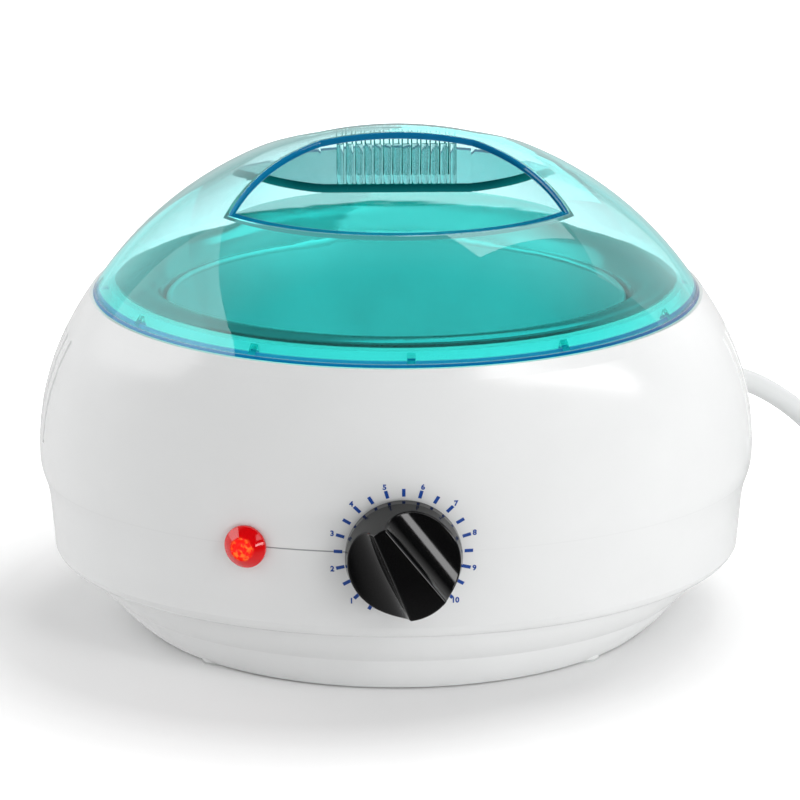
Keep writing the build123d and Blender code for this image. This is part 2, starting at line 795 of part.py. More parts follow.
# Two blade tabs under the thermostat's block
tab_depth = cup_back + thermostat_block_depth / 2
block_foot = thermostat_block_top - thermostat_block_height
with BuildPart() as thermostat_tabs:
    for side in (-1, 1):
        with BuildSketch(dial_plane.offset(-tab_depth - tab_thickness / 2)):
            with Locations((side * tab_pitch / 2, block_foot - tab_length / 2)):
                Rectangle(tab_width, tab_length)
        extrude(amount=tab_thickness)
thermostat_tabs.part.label = "thermostat_tabs"
pieces.append(thermostat_tabs.part)

# Thermostat shaft: round, with a flat where the knob's spring bears
shaft_tip = knob_gap + shaft_engagement
with BuildPart() as thermostat_shaft:
    with BuildSketch(dial_plane.offset(-cup_back + shaft_clearance)):
        Circle(shaft_radius)
    extrude(amount=cup_back - shaft_clearance + shaft_tip)
    with BuildSketch(dial_plane.offset(knob_gap)):
        with Locations((0, 2 * shaft_radius - shaft_flat)):
            Rectangle(2 * shaft_radius, 2 * shaft_radius)
    extrude(amount=shaft_engagement, mode=Mode.SUBTRACT)
thermostat_shaft.part.label = "thermostat_shaft"
pieces.append(thermostat_shaft.part)

# Leaf spring between the shaft's flat and the knob's hub
spring_width = 2 * math.sqrt(shaft_radius**2 - (shaft_radius - shaft_flat + spring_thickness) ** 2)
with BuildPart() as knob_spring:
    with BuildSketch(dial_plane.offset(knob_gap + shaft_clearance)):
        with Locations((0, shaft_radius - shaft_flat + spring_thickness / 2)):
            Rectangle(spring_width, spring_thickness)
    extrude(amount=shaft_engagement - 2 * shaft_clearance)
knob_spring.part.label = "knob_spring"
pieces.append(knob_spring.part)

# Control knob: a hollow cap with two scooped faces that leave a tapered bar, the pointer
knob_plane = dial_plane.offset(knob_gap)
bar_turn = 90 - knob_pointer_angle
hollow_depth = knob_height - knob_scoop_depth - knob_wall
scoop_axis_height = knob_height - knob_scoop_depth + knob_scoop_radius
with BuildPart() as control_knob:
    with BuildSketch(knob_plane):
        Circle(knob_radius)
    extrude(amount=knob_rim_height)
    with BuildSketch(knob_plane.offset(knob_rim_height)):
        Circle(knob_radius)
    with BuildSketch(knob_plane.offset(knob_height)):
        Circle(knob_face_radius)
    loft()
    for side in (-1, 1):
        scoop_plane = (
            knob_plane
            * Rotation(0, 0, bar_turn + side * knob_bar_taper)
            * Pos(0, side * (knob_bar_width / 2 + knob_scoop_radius), scoop_axis_height)
            * Rotation(0, 90, 0)
        )
        with BuildSketch(Plane(scoop_plane)):
            Circle(knob_scoop_radius)
        extrude(amount=2 * knob_radius, both=True, mode=Mode.SUBTRACT)
    # The bar's and the face's edges are rounded before the inside is hollowed
    fillet(
        [
            edge
            for edge in control_knob.edges()
            if knob_plane.to_local_coords(edge.center()).Z > knob_rim_height + fit_clearance
        ],
        knob_edge_radius,
    )
    with BuildSketch(knob_plane):
        Circle(knob_radius - knob_wall)
        Circle(hub_radius, mode=Mode.SUBTRACT)
    extrude(amount=hollow_depth, mode=Mode.SUBTRACT)
    with BuildSketch(knob_plane):
        Circle(shaft_radius + shaft_clearance)
    extrude(amount=shaft_engagement + shaft_clearance, mode=Mode.SUBTRACT)
control_knob.part.label = "control_knob"
pieces.append(control_knob.part)

# Temperature sensor: a copper bulb against the well's wall, held by a strap, and its thin tube
bulb_seat = bulb_radius + shaft_clearance
bulb_place_radius = well_radius + sheet + bulb_seat
with BuildPart() as sensor_bulb:
    with BuildSketch(ring_place(bulb_place_radius, bulb_angle, bulb_foot_height)):
        Circle(bulb_radius)
    extrude(amount=bulb_length)
    fillet(sensor_bulb.edges().group_by(Axis.Z)[-1], bulb_radius / 2)
sensor_bulb.part.label = "sensor_bulb"
pieces.append(sensor_bulb.part)

with BuildPart() as bulb_clip:
    with BuildSketch(ring_place(bulb_place_radius, bulb_angle, clip_height - clip_width / 2)):
        Circle(bulb_seat + clip_thickness)
        with Locations((-bulb_seat / 2, 0)):
            Rectangle(bulb_seat, 2 * (bulb_seat + clip_thickness))
        with Locations((-bulb_seat + clip_thickness / 2, 0)):
            Rectangle(clip_thickness, 2 * (bulb_seat + clip_reach))
        Circle(bulb_seat, mode=Mode.SUBTRACT)
        with Locations((-bulb_seat / 2, 0)):
            Rectangle(bulb_seat, 2 * bulb_seat, mode=Mode.SUBTRACT)
        with Locations((-bulb_seat - clip_reach / 2, 0)):
            Rectangle(clip_reach, 4 * clip_reach, mode=Mode.SUBTRACT)
    extrude(amount=clip_width)
bulb_clip.part.label = "bulb_clip"
pieces.append(bulb_clip.part)

# The thin tube leaves the side of the thermostat's block and rises into the bulb's foot
tube_start = (dial_plane * Pos(thermostat_block_width / 2, -capillary_drop, -tab_depth)).position
bulb_foot = level(bulb_angle) * bulb_place_radius + Vector(0, 0, bulb_foot_height)
with BuildPart() as capillary_tube:
    with BuildLine() as capillary_line:
        FilletPolyline(
            tube_start,
            (bulb_foot.X, tube_start.Y, tube_start.Z),
            (bulb_foot.X, bulb_foot.Y, bulb_foot.Z - 2 * capillary_bend),
            bulb_foot,
            radius=capillary_bend,
        )
    with BuildSketch(Plane(origin=capillary_line.line @ 0, z_dir=capillary_line.line % 0)):
        Circle(capillary_radius)
    sweep(path=capillary_line.line)
capillary_tube.part.label = "capillary_tube"
pieces.append(capillary_tube.part)

# Heater: a mica disc clamped under the well's floor by a steel plate on a welded stud
heater_foot = well_floor_height - heater_thickness
clamp_plate_foot = heater_foot - clamp_plate_thickness
ring_tab_foot = clamp_plate_foot - tab_thickness
with BuildPart() as heater_element:
    with BuildSketch(Plane.XY.offset(heater_foot)):
        Circle(heater_radius)
        Circle(stud_radius + fit_clearance, mode=Mode.SUBTRACT)
    extrude(amount=heater_thickness)
    for angle in heater_tab_angles:
        with BuildSketch(ring_place(heater_radius - tab_thickness, angle, heater_foot - tab_length)):
            Rectangle(tab_thickness, tab_width)
        extrude(amount=tab_length)
heater_element.part.label = "heater_element"
pieces.append(heater_element.part)

with BuildPart() as heater_clamp_plate:
    with BuildSketch(Plane.XY.offset(clamp_plate_foot)):
        Circle(clamp_plate_radius)
        Circle(stud_radius + fit_clearance, mode=Mode.SUBTRACT)
    extrude(amount=clamp_plate_thickness)
heater_clamp_plate.part.label = "heater_clamp_plate"
pieces.append(heater_clamp_plate.part)

with BuildPart() as well_stud:
    with BuildSketch(Plane.XY.offset(well_floor_height)):
        Circle(stud_radius)
    extrude(amount=-stud_length)
well_stud.part.label = "well_stud"
pieces.append(well_stud.part)

with BuildPart() as earth_ring:
    with BuildSketch(Plane.XY.offset(ring_tab_foot)):
        Circle(nut_width / 2 + tab_thickness)
        with Locations((nut_width / 2 + tab_length / 2, 0)):
            Rectangle(tab_length, tab_width / 2)
        Circle(stud_radius + fit_clearance, mode=Mode.SUBTRACT)
    extrude(amount=tab_thickness)
earth_ring.part.label = "earth_ring"
pieces.append(earth_ring.part)

with BuildPart() as heater_nut:
    with BuildSketch(Plane.XY.offset(ring_tab_foot)):
        RegularPolygon(nut_width / 2, 6, major_radius=False)
        Circle(stud_radius + shaft_clearance, mode=Mode.SUBTRACT)
    extrude(amount=-nut_thickness)
heater_nut.part.label = "heater_nut"
pieces.append(heater_nut.part)

# Thermal fuse under the well's floor, in a spring strap
fuse_seat = fuse_radius + shaft_clearance
fuse_height = well_floor_height - fuse_seat
fuse_plane = Plane(
    origin=level(fuse_angle) * fuse_place_radius + Vector(0, 0, fuse_height),
    x_dir=level(fuse_angle),
    z_dir=level(fuse_angle + 90),
)
with BuildPart() as thermal_fuse:
    with BuildSketch(fuse_plane):
        Circle(fuse_radius)
    extrude(amount=fuse_length / 2, both=True)
thermal_fuse.part.label = "thermal_fuse"
pieces.append(thermal_fuse.part)

with BuildPart() as fuse_clip:
    with BuildSketch(fuse_plane):
        Circle(fuse_seat + clip_thickness)
        with Locations((0, -fuse_seat / 2)):
            Rectangle(2 * (fuse_seat + clip_thickness), fuse_seat)
        with Locations((0, -fuse_seat + clip_thickness / 2)):
            Rectangle(2 * fuse_seat + clip_reach, clip_thickness)
        Circle(fuse_seat, mode=Mode.SUBTRACT)
        with Locations((0, -fuse_seat / 2)):
            Rectangle(2 * fuse_seat, fuse_seat, mode=Mode.SUBTRACT)
        with Locations((0, -fuse_seat - clip_reach / 2)):
            Rectangle(4 * clip_reach, clip_reach, mode=Mode.SUBTRACT)
    extrude(amount=clip_width / 4, both=True)
fuse_clip.part.label = "fuse_clip"
pieces.append(fuse_clip.part)

# Pilot lamp: a red lens pushed through the wall, a neon bulb, its plug and a spring washer
with BuildPart() as indicator_lens:
    with BuildSketch(lamp_plane.offset(lamp_gap)):
        Circle(lens_radius)
    extrude(amount=lens_rim)
    with BuildSketch(lamp_plane.offset(lamp_gap + lens_rim)):
        Circle(lens_radius)
    with BuildSketch(lamp_plane.offset(lamp_gap + lens_rim + lens_dome)):
        Circle(lens_radius - lens_dome)
    loft()
    with BuildSketch(lamp_plane.offset(lamp_gap)):
        Circle(lens_barrel_radius)
    extrude(amount=-lens_barrel_length)
    with BuildSketch(lamp_plane.offset(lamp_gap - lens_barrel_length)):
        Circle(lens_bore_radius)
    extrude(amount=lens_barrel_length, mode=Mode.SUBTRACT)
indicator_lens.part.label = "indicator_lens"
pieces.append(indicator_lens.part)

with BuildPart() as lamp_plug:
    with BuildSketch(lamp_plane.offset(lamp_gap - lens_barrel_length - fit_clearance)):
        Circle(lens_bore_radius - shaft_clearance)
    extrude(amount=lamp_plug_length)
lamp_plug.part.label = "lamp_plug"
pieces.append(lamp_plug.part)

with BuildPart() as neon_lamp:
    with BuildSketch(lamp_plane.offset(lamp_gap - lens_barrel_length - fit_clearance + lamp_plug_length)):
        Circle(neon_radius)
    extrude(amount=neon_length)
    fillet(neon_lamp.edges().filter_by(GeomType.CIRCLE).sort_by(Axis.Y)[0], neon_radius / 2)
neon_lamp.part.label = "neon_lamp"
pieces.append(neon_lamp.part)

with BuildPart() as lamp_retainer:
    with BuildSketch(lamp_plane.offset(-casing_wall - curve_gap)):
        Circle(retainer_radius)
        Circle(lens_barrel_radius + shaft_clearance, mode=Mode.SUBTRACT)
    extrude(amount=-retainer_thickness)
lamp_retainer.part.label = "lamp_retainer"
pieces.append(lamp_retainer.part)

# Strain relief: a moulded sleeve trapped in the seam, tapering along the lead
relief_inside = casing_wall + curve_gap + relief_flange_thickness
with BuildPart() as strain_relief:
    with BuildSketch(exit_plane.offset(-relief_inside)):
        Circle(relief_flange_radius)
    extrude(amount=relief_flange_thickness)
    with BuildSketch(exit_plane.offset(-casing_wall - curve_gap)):
        Circle(relief_neck_radius)
    extrude(amount=casing_wall + 2 * curve_gap)
    with BuildSketch(exit_plane.offset(curve_gap)):
        Circle(relief_root_radius)
    with BuildSketch(exit_plane.offset(relief_length)):
        Circle(relief_tip_radius)
    loft()
strain_relief.part.label = "strain_relief"
pieces.append(strain_relief.part)

# The lead's end inside the casing, under a clamp bar on the lower casing's pillar
with BuildPart() as inner_cord:
    with BuildSketch(exit_plane.offset(-relief_inside)):
        Circle(cord_radius)
    extrude(amount=-inner_cord_length)
inner_cord.part.label = "inner_cord"
pieces.append(inner_cord.part)

clamp_bar_plane = Plane(
    origin=(exit_plane * Pos(0, 0, -clamp_distance)).position + Vector(0, 0, cord_radius + shaft_clearance),
    x_dir=level(cord_exit_angle),
    z_dir=(0, 0, 1),
)
clamp_screw_places = [(0, clamp_screw_spacing / 2), (0, -clamp_screw_spacing / 2)]
with BuildPart() as cord_clamp:
    with BuildSketch(clamp_bar_plane):
        Rectangle(clamp_width, clamp_length)
    extrude(amount=clamp_bar_thickness)
    # Legs carry the bar on the pillar beside the lead
    with BuildSketch(clamp_bar_plane):
        with Locations(*clamp_screw_places):
            Rectangle(clamp_width, clamp_length - clamp_screw_spacing)
    extrude(amount=-2 * cord_radius - shaft_clearance)
    with BuildSketch(clamp_bar_plane.offset(clamp_bar_thickness)):
        with Locations(*clamp_screw_places):
            Circle(clamp_screw_radius + shaft_clearance)
    extrude(amount=-clamp_bar_thickness - 2 * cord_radius - shaft_clearance, mode=Mode.SUBTRACT)
cord_clamp.part.label = "cord_clamp"
pieces.append(cord_clamp.part)

with BuildPart() as clamp_screws:
    with BuildSketch(clamp_bar_plane.offset(clamp_bar_thickness)):
        with Locations(*clamp_screw_places):
            Circle(clamp_screw_radius)
    extrude(amount=-clamp_bar_thickness - 2 * cord_radius - shaft_clearance - clamp_screw_depth)
    with BuildSketch(clamp_bar_plane.offset(clamp_bar_thickness)):
        with Locations(*clamp_screw_places):
            Circle(clamp_screw_head_radius)
    extrude(amount=clamp_screw_head_height)
clamp_screws.part.label = "clamp_screws"
pieces.append(clamp_screws.part)

# Coil of the put-away lead: one tube that spirals in on the lower layer, climbs, and spirals out above
coil_low = cord_radius + tie_thickness + shaft_clearance
coil_high = coil_low + coil_pitch
coil_climb_radius = coil_outer_radius - coil_half_turns * coil_pitch / 2
coil_start = Vector(coil_x - 2 * cord_radius, coil_top_y, coil_low)
with BuildPart() as cord_coil:
    with BuildLine() as coil_line:
        Line(coil_start, (coil_x, coil_top_y, coil_low))
        turn_point = Vector(coil_x, coil_top_y, coil_low)
        heading = 1
        for index in range(coil_half_turns):
            radius = coil_outer_radius - index * coil_pitch / 2
            next_point = turn_point - Vector(0, heading * 2 * radius, 0)
            TangentArc(turn_point, next_point, tangent=(heading, 0, 0))
            turn_point = next_point
            heading = -heading
        # Two quarter turns that meet half-way up the climb
        half_way = turn_point + Vector(
            heading * math.hypot(coil_climb_radius, coil_pitch / 2),
            -heading * coil_climb_radius,
            coil_pitch / 2,
        )
        next_point = turn_point + Vector(0, -heading * 2 * coil_climb_radius, coil_pitch)
        climb = TangentArc(turn_point, half_way, tangent=(heading, 0, 0))
        TangentArc(half_way, next_point, tangent=climb % 1)
        turn_point = next_point
        heading = -heading
        for index in range(coil_half_turns - 1):
            radius = coil_climb_radius + (index + 1) * coil_pitch / 2
            next_point = turn_point - Vector(0, heading * 2 * radius, 0)
            TangentArc(turn_point, next_point, tangent=(heading, 0, 0))
            turn_point = next_point
            heading = -heading
        quarter_point = turn_point + Vector(heading * coil_outer_radius, -heading * coil_outer_radius, 0)
        TangentArc(turn_point, quarter_point, tangent=(heading, 0, 0))
        coil_end = quarter_point - Vector(0, heading * 2 * cord_radius, 0)
        Line(quarter_point, coil_end)
    with BuildSketch(Plane(origin=coil_start, z_dir=(1, 0, 0))):
        Circle(cord_radius)
    sweep()
cord_coil.part.label = "cord_coil"
pieces.append(cord_coil.part)


def bend_radii(points):
    """Radius of each corner of a cord's route: 0.45 of the shorter run over the tangent of half the turn."""
    radii = []
    for before, corner, after in zip(points, points[1:], points[2:]):
        run_in = Vector(corner) - Vector(before)
        run_out = Vector(after) - Vector(corner)
        half_turn = math.radians(run_in.get_angle(run_out) / 2)
        radii.append(0.45 * min(run_in.length, run_out.length) / math.tan(half_turn))
    return radii


# Free stretch of the lead: out of the strain relief, drooping to the table and on to the coil
relief_tip = (exit_plane * Pos(0, 0, relief_length)).position
cord_points = [
    relief_tip,
    relief_tip + level(cord_exit_angle) * cord_lead_out,
    (132, 116, 43.5),
    (151, 124, 30),
    (165, 128, 15.6),
    (178, 130, 8.7),
    (191.5, coil_top_y, coil_low),
    coil_start,
]
with BuildPart() as cord:
    with BuildLine() as cord_line:
        FilletPolyline(*cord_points, radius=bend_radii(cord_points))
    with BuildSketch(Plane(origin=relief_tip, z_dir=exit_plane.z_dir)):
        Circle(cord_radius)
    sweep()
cord.part.label = "cord"
pieces.append(cord.part)

# Short stretch from the coil to the plug
plug_height = plug_radius + plug_rest_gap
tail_points = [
    coil_end,
    (coil_end.X, 51, coil_high),
    (coil_end.X - 3, 31, plug_height),
    (coil_end.X - 3, 14, plug_height),
]
with BuildPart() as cord_tail:
    with BuildLine() as tail_line:
        FilletPolyline(*tail_points, radius=bend_radii(tail_points))
    with BuildSketch(Plane(origin=coil_end, z_dir=(0, -1, 0))):
        Circle(cord_radius)
    sweep()
cord_tail.part.label = "cord_tail"
pieces.append(cord_tail.part)

# A flat tie round the turns on the coil's left side
tie_outer = coil_outer_radius - coil_pitch / 2 + cord_radius + coil_tie_gap
tie_inner = coil_climb_radius + coil_pitch / 2 - cord_radius - coil_tie_gap - tie_lag
tie_low = tie_thickness
tie_high = coil_high + cord_radius + coil_tie_gap
with BuildPart() as coil_tie:
    with BuildSketch(Plane.XZ.offset(-tie_y + tie_width / 2)):
        with Locations((coil_x - (tie_outer + tie_inner) / 2, (tie_low + tie_high) / 2)):
            Rectangle(
                tie_outer - tie_inner + 2 * tie_thickness, tie_high - tie_low + 2 * tie_thickness
            )
            Rectangle(tie_outer - tie_inner, tie_high - tie_low, mode=Mode.SUBTRACT)
    extrude(amount=-tie_width)
coil_tie.part.label = "coil_tie"
pieces.append(coil_tie.part)

# Plug: a moulded body lying level, two round pins and a pair of earth strips
plug_plane = Plane(origin=tail_points[-1], x_dir=(1, 0, 0), z_dir=(0, -1, 0))
plug_face = plug_relief_length + plug_body_length
plug_notch_place = plug_radius - plug_notch_depth / 2
with BuildPart() as plug_body:
    with BuildSketch(plug_plane):
        Circle(relief_tip_radius)
    with BuildSketch(plug_plane.offset(plug_relief_length)):
        Circle(plug_relief_root_radius)
    loft()
    with BuildSketch(plug_plane.offset(plug_relief_length)):
        Circle(plug_neck_radius)
    with BuildSketch(plug_plane.offset(plug_face - plug_front_length)):
        Circle(plug_radius)
    loft()
    with BuildSketch(plug_plane.offset(plug_face - plug_front_length)):
        Circle(plug_radius)
    extrude(amount=plug_front_length)
    with BuildSketch(plug_plane.offset(plug_face)):
        with Locations((0, plug_notch_place), (0, -plug_notch_place)):
            Rectangle(plug_notch_width, plug_notch_depth)
        with GridLocations(plug_pin_spacing, 1, 2, 1):
            Circle(plug_pin_root_radius + shaft_clearance)
    extrude(amount=-plug_pin_depth, mode=Mode.SUBTRACT)
plug_body.part.label = "plug_body"
pieces.append(plug_body.part)

with BuildPart() as plug_pins:
    with BuildSketch(plug_plane.offset(plug_face - plug_pin_depth)):
        with GridLocations(plug_pin_spacing, 1, 2, 1):
            Circle(plug_pin_root_radius)
    extrude(amount=plug_pin_depth)
    with BuildSketch(plug_plane.offset(plug_face)):
        with GridLocations(plug_pin_spacing, 1, 2, 1):
            Circle(plug_pin_radius)
    extrude(amount=plug_pin_length)
    fillet(plug_pins.edges().group_by(Axis.Y)[0], plug_pin_radius / 2)
plug_pins.part.label = "plug_pins"
pieces.append(plug_pins.part)

with BuildPart() as plug_earth_strips:
    with BuildSketch(plug_plane.offset(plug_face - plug_pin_depth + shaft_clearance)):
        for side in (-1, 1):
            with Locations((0, side * (plug_radius - plug_notch_depth + plug_clip_thickness / 2))):
                Rectangle(plug_clip_width, plug_clip_thickness)
    extrude(amount=plug_pin_depth - 2 * shaft_clearance)
plug_earth_strips.part.label = "plug_earth_strips"
pieces.append(plug_earth_strips.part)

# Terminal block on the floor of the lower casing, with a screw on each side of each pole
pole_places = [terminal_y + (index - 1) * terminal_pitch for index in range(terminal_poles)]
entry_height = inner_floor + terminal_entry_height
with BuildPart() as terminal_block:
    with BuildSketch(Plane.XY.offset(inner_floor)):
        with Locations((terminal_x, terminal_y)):
            Rectangle(terminal_width, terminal_length)
    extrude(amount=terminal_height)
    with BuildSketch(Plane.XY.offset(inner_floor + terminal_height)):
        with Locations((terminal_x, terminal_y)):
            with GridLocations(terminal_width / 2, terminal_pitch, 2, terminal_poles):
                Circle(terminal_screw_radius + shaft_clearance)
    extrude(amount=-terminal_screw_height, mode=Mode.SUBTRACT)
terminal_block.part.label = "terminal_block"
pieces.append(terminal_block.part)

with BuildPart() as terminal_screws:
    with BuildSketch(Plane.XY.offset(inner_floor + terminal_height - terminal_screw_height)):
        with Locations((terminal_x, terminal_y)):
            with GridLocations(terminal_width / 2, terminal_pitch, 2, terminal_poles):
                Circle(terminal_screw_radius)
    extrude(amount=terminal_screw_height)
terminal_screws.part.label = "terminal_screws"
pieces.append(terminal_screws.part)

# Inner leads: each is an insulated wire with its route written as points
supply_side = terminal_x + terminal_width / 2
load_side = terminal_x - terminal_width / 2
cord_inner_end = exit_plane.offset(-relief_inside - inner_cord_length)


def supply_route(index):
    """From one core of the lead down to its pole; the cores lie above each other."""
    core_rise = (1 - index) * lead_spacing
    pole_y = pole_places[index]
    middle_height = (seam_height + entry_height) / 2 + 2 * core_rise
    return [
        (cord_inner_end * Pos(0, core_rise, 0)).position,
        (cord_inner_end * Pos(0, core_rise, -lead_drop)).position,
        (supply_side + 2 * lead_drop, pole_y + lead_drop / 2, middle_height),
        (supply_side + lead_drop, pole_y, entry_height),
        (supply_side, pole_y, entry_height),
    ]


def tab_end(side, shift):
    """Lower end of a thermostat tab."""
    end_height = block_foot - tab_length - fit_clearance
    return (dial_plane * Pos(side * tab_pitch / 2 + shift, end_height, -tab_depth)).position


heater_tab_foot = heater_foot - tab_length
heater_tab_radius = heater_radius - tab_thickness
live_tab = tab_end(1, 0)
fuse_tab = tab_end(-1, -lead_spacing / 2)
lamp_tab = tab_end(-1, lead_spacing / 2)
fuse_front = (fuse_plane * Pos(0, 0, fuse_length / 2)).position
fuse_back = (fuse_plane * Pos(0, 0, -fuse_length / 2)).position
heater_tab_left = level(heater_tab_angles[0]) * heater_tab_radius + Vector(0, 0, heater_tab_foot)
heater_tab_right = level(heater_tab_angles[1]) * heater_tab_radius + Vector(0, 0, heater_tab_foot)
earth_height = clamp_plate_foot - lead_radius - fit_clearance
lamp_back = lamp_plane.offset(lamp_gap - lens_barrel_length - fit_clearance)
lead_routes = {
    "lead_live_supply": [supply_route(0)],
    "lead_neutral_supply": [supply_route(1)],
    "lead_earth_supply": [supply_route(2)],
    "lead_to_thermostat": [
        [
            (load_side, pole_places[0], entry_height),
            (load_side - lead_drop, pole_places[0], entry_height),
            (20, -40, 14),
            (live_tab.X, live_tab.Y, 14),
            live_tab,
        ]
    ],
    "lead_to_fuse": [
        [
            fuse_tab,
            fuse_tab - Vector(0, 0, lead_drop),
            (-24, -70, 22),
            fuse_front + (fuse_plane.z_dir * 2 * lead_drop),
            fuse_front,
        ]
    ],
    "lead_to_heater": [
        [
            fuse_back,
            fuse_back - (fuse_plane.z_dir * lead_drop),
            (heater_tab_left.X - 2, heater_tab_left.Y - 6, 36),
            heater_tab_left - Vector(0, 0, lead_drop),
            heater_tab_left,
        ]
    ],
    "lead_from_heater": [
        [
            (load_side, pole_places[1] - lead_spacing / 2, entry_height),
            (load_side - lead_drop, pole_places[1] - lead_spacing / 2, entry_height),
            (38, -5, 26),
            heater_tab_right - Vector(0, 0, lead_drop),
            heater_tab_right,
        ]
    ],
    "lead_earth_bond": [
        [
            (load_side, pole_places[2], entry_height),
            (load_side - lead_drop, pole_places[2], entry_height),
            (28, 8, 34),
            (24, 0, earth_height),
            (nut_width / 2 + tab_length, 0, earth_height),
        ]
    ],
    "lamp_leads": [
        [
            (lamp_back * Pos(lead_spacing / 2, 0, 0)).position,
            (lamp_back * Pos(lead_spacing / 2, 0, -lead_drop)).position,
            (-30, -66, 11),
            (lamp_tab.X, lamp_tab.Y, 11),
            lamp_tab,
        ],
        [
            (lamp_back * Pos(-lead_spacing / 2, 0, 0)).position,
            (lamp_back * Pos(-lead_spacing / 2, 0, -lead_drop)).position,
            (-44, -52, 9.5),
            (0, -14, 9.5),
            (load_side - 2 * lead_drop, pole_places[1] + lead_spacing / 2, entry_height),
            (load_side, pole_places[1] + lead_spacing / 2, entry_height),
        ],
    ],
}
for lead_name, routes in lead_routes.items():
    with BuildPart() as lead:
        for route in routes:
            with BuildLine() as lead_line:
                FilletPolyline(*route, radius=lead_bend)
            with BuildSketch(Plane(origin=lead_line.line @ 0, z_dir=lead_line.line % 0)):
                Circle(lead_radius)
            sweep(path=lead_line.line)
    lead.part.label = lead_name
    pieces.append(lead.part)

# Lengths of the lead, the radii of its bends, and how near the coil comes to itself
print("bend radii of the free lead", [round(radius, 1) for radius in bend_radii(cord_points)])
print("bend radii of the tail", [round(radius, 1) for radius in bend_radii(tail_points)])
total_length = 0
for tube, tube_line in ((cord, cord_line), (cord_coil, coil_line), (cord_tail, tail_line)):
    tube_length = tube_line.wire().length
    volume_share = tube.part.volume / (tube_length * math.pi * cord_radius**2)
    print(tube.part.label, "length", round(tube_length, 1), "volume against that", round(volume_share, 4))
    total_length += tube_length
print("lead length outside the strain relief", round(total_length, 1))
coil_route = coil_line.wire()
sample_count = int(2 * coil_route.length / cord_radius)
samples = [coil_route @ (index / sample_count) for index in range(sample_count + 1)]
least_apart = min(
    (sample - other).length for index, sample in enumerate(samples) for other in samples[index + 12 :]
)
print("least gap between the coil's turns", round(least_apart - 2 * cord_radius, 2))

# All pieces move back by half of what the knob stands out further in front than the crown does behind
set_back = -(control_knob.part.bounding_box().min.Y + upper_casing.part.bounding_box().max.Y) / 2
print("the well's axis is set back by", round(set_back, 3))
os.makedirs("parts", exist_ok=True)
for piece in pieces:
    export_step(piece.moved(Location((0, set_back, 0))), f"parts/{piece.label}.step")
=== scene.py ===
import math

import bmesh
import bpy
from mathutils import Matrix, Vector
from mathutils.bvhtree import BVHTree


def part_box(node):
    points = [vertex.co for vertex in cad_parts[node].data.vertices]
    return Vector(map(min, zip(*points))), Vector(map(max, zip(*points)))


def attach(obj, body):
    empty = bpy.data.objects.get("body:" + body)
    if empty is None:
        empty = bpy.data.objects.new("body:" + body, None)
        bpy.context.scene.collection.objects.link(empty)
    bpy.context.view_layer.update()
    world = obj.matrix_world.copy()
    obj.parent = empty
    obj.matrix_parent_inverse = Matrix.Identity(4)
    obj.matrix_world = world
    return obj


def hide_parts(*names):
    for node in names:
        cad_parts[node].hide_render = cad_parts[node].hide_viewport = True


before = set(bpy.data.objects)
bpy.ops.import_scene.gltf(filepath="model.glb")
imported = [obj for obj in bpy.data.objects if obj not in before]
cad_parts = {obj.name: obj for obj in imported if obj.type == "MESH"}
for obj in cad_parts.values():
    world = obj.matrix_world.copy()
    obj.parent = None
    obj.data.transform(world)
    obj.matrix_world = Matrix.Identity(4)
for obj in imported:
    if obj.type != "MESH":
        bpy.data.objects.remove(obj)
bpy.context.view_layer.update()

# Camera: a long lens 1.3 m away, 16 degrees above the table and a little to the left of the front. The
# image is 800 by 800, and the lens is worked out from the photograph's scale for a 36 mm sensor.
axis_back = 0.006422
camera_turn = math.radians(1.4)
camera_rise = math.radians(16.2)
camera_distance = 1.3
look_at = Vector((0.00125, axis_back, 0.0706))
camera_side = Vector((-math.sin(camera_turn), -math.cos(camera_turn), 0.0))
camera = bpy.data.objects.new("camera", bpy.data.cameras.new("camera"))
camera.data.sensor_width = 36.0
camera.data.lens = 173.7
camera.data.clip_end = 50.0
camera.location = look_at + camera_distance * (
    camera_side * math.cos(camera_rise) + Vector((0.0, 0.0, math.sin(camera_rise)))
)
camera.rotation_euler = (look_at - camera.location).to_track_quat("-Z", "Y").to_euler()
bpy.context.scene.collection.objects.link(camera)
bpy.context.scene.camera = camera
bpy.context.scene.view_settings.view_transform = "Standard"


# Mains lead: 8 mm round three-core lead in a soft PVC sleeve, drawn over the cores in one long extrusion.
# It drops from the strain relief to the table, lies in a tied coil of four and a quarter turns in two
# layers, and ends in the plug. Pale grey PVC gives a soft broad sheen with a faint drawing texture.
def srgb(code):
    """The linear colour of an sRGB hex code."""
    parts = [int(code[at:at + 2], 16) / 255 for at in (1, 3, 5)]
    return [part / 12.92 if part <= 0.04045 else ((part + 0.055) / 1.055) ** 2.4 for part in parts] + [1.0]


def add_node(owner, kind, inputs=None, **settings):
    """Adds a node with its settings. Each of its inputs is a value or another node's output."""
    tree = owner.node_tree
    node = tree.nodes.new(kind)
    for name, value in settings.items():
        setattr(node, name, value)
    for name, value in (inputs or {}).items():
        if isinstance(value, bpy.types.NodeSocket):
            tree.links.new(value, node.inputs[name])
        else:
            node.inputs[name].default_value = value
    return node


def new_material(name):
    """A node material with nothing in it yet."""
    material = bpy.data.materials.new(name)
    material.use_nodes = True
    material.node_tree.nodes.clear()
    return material


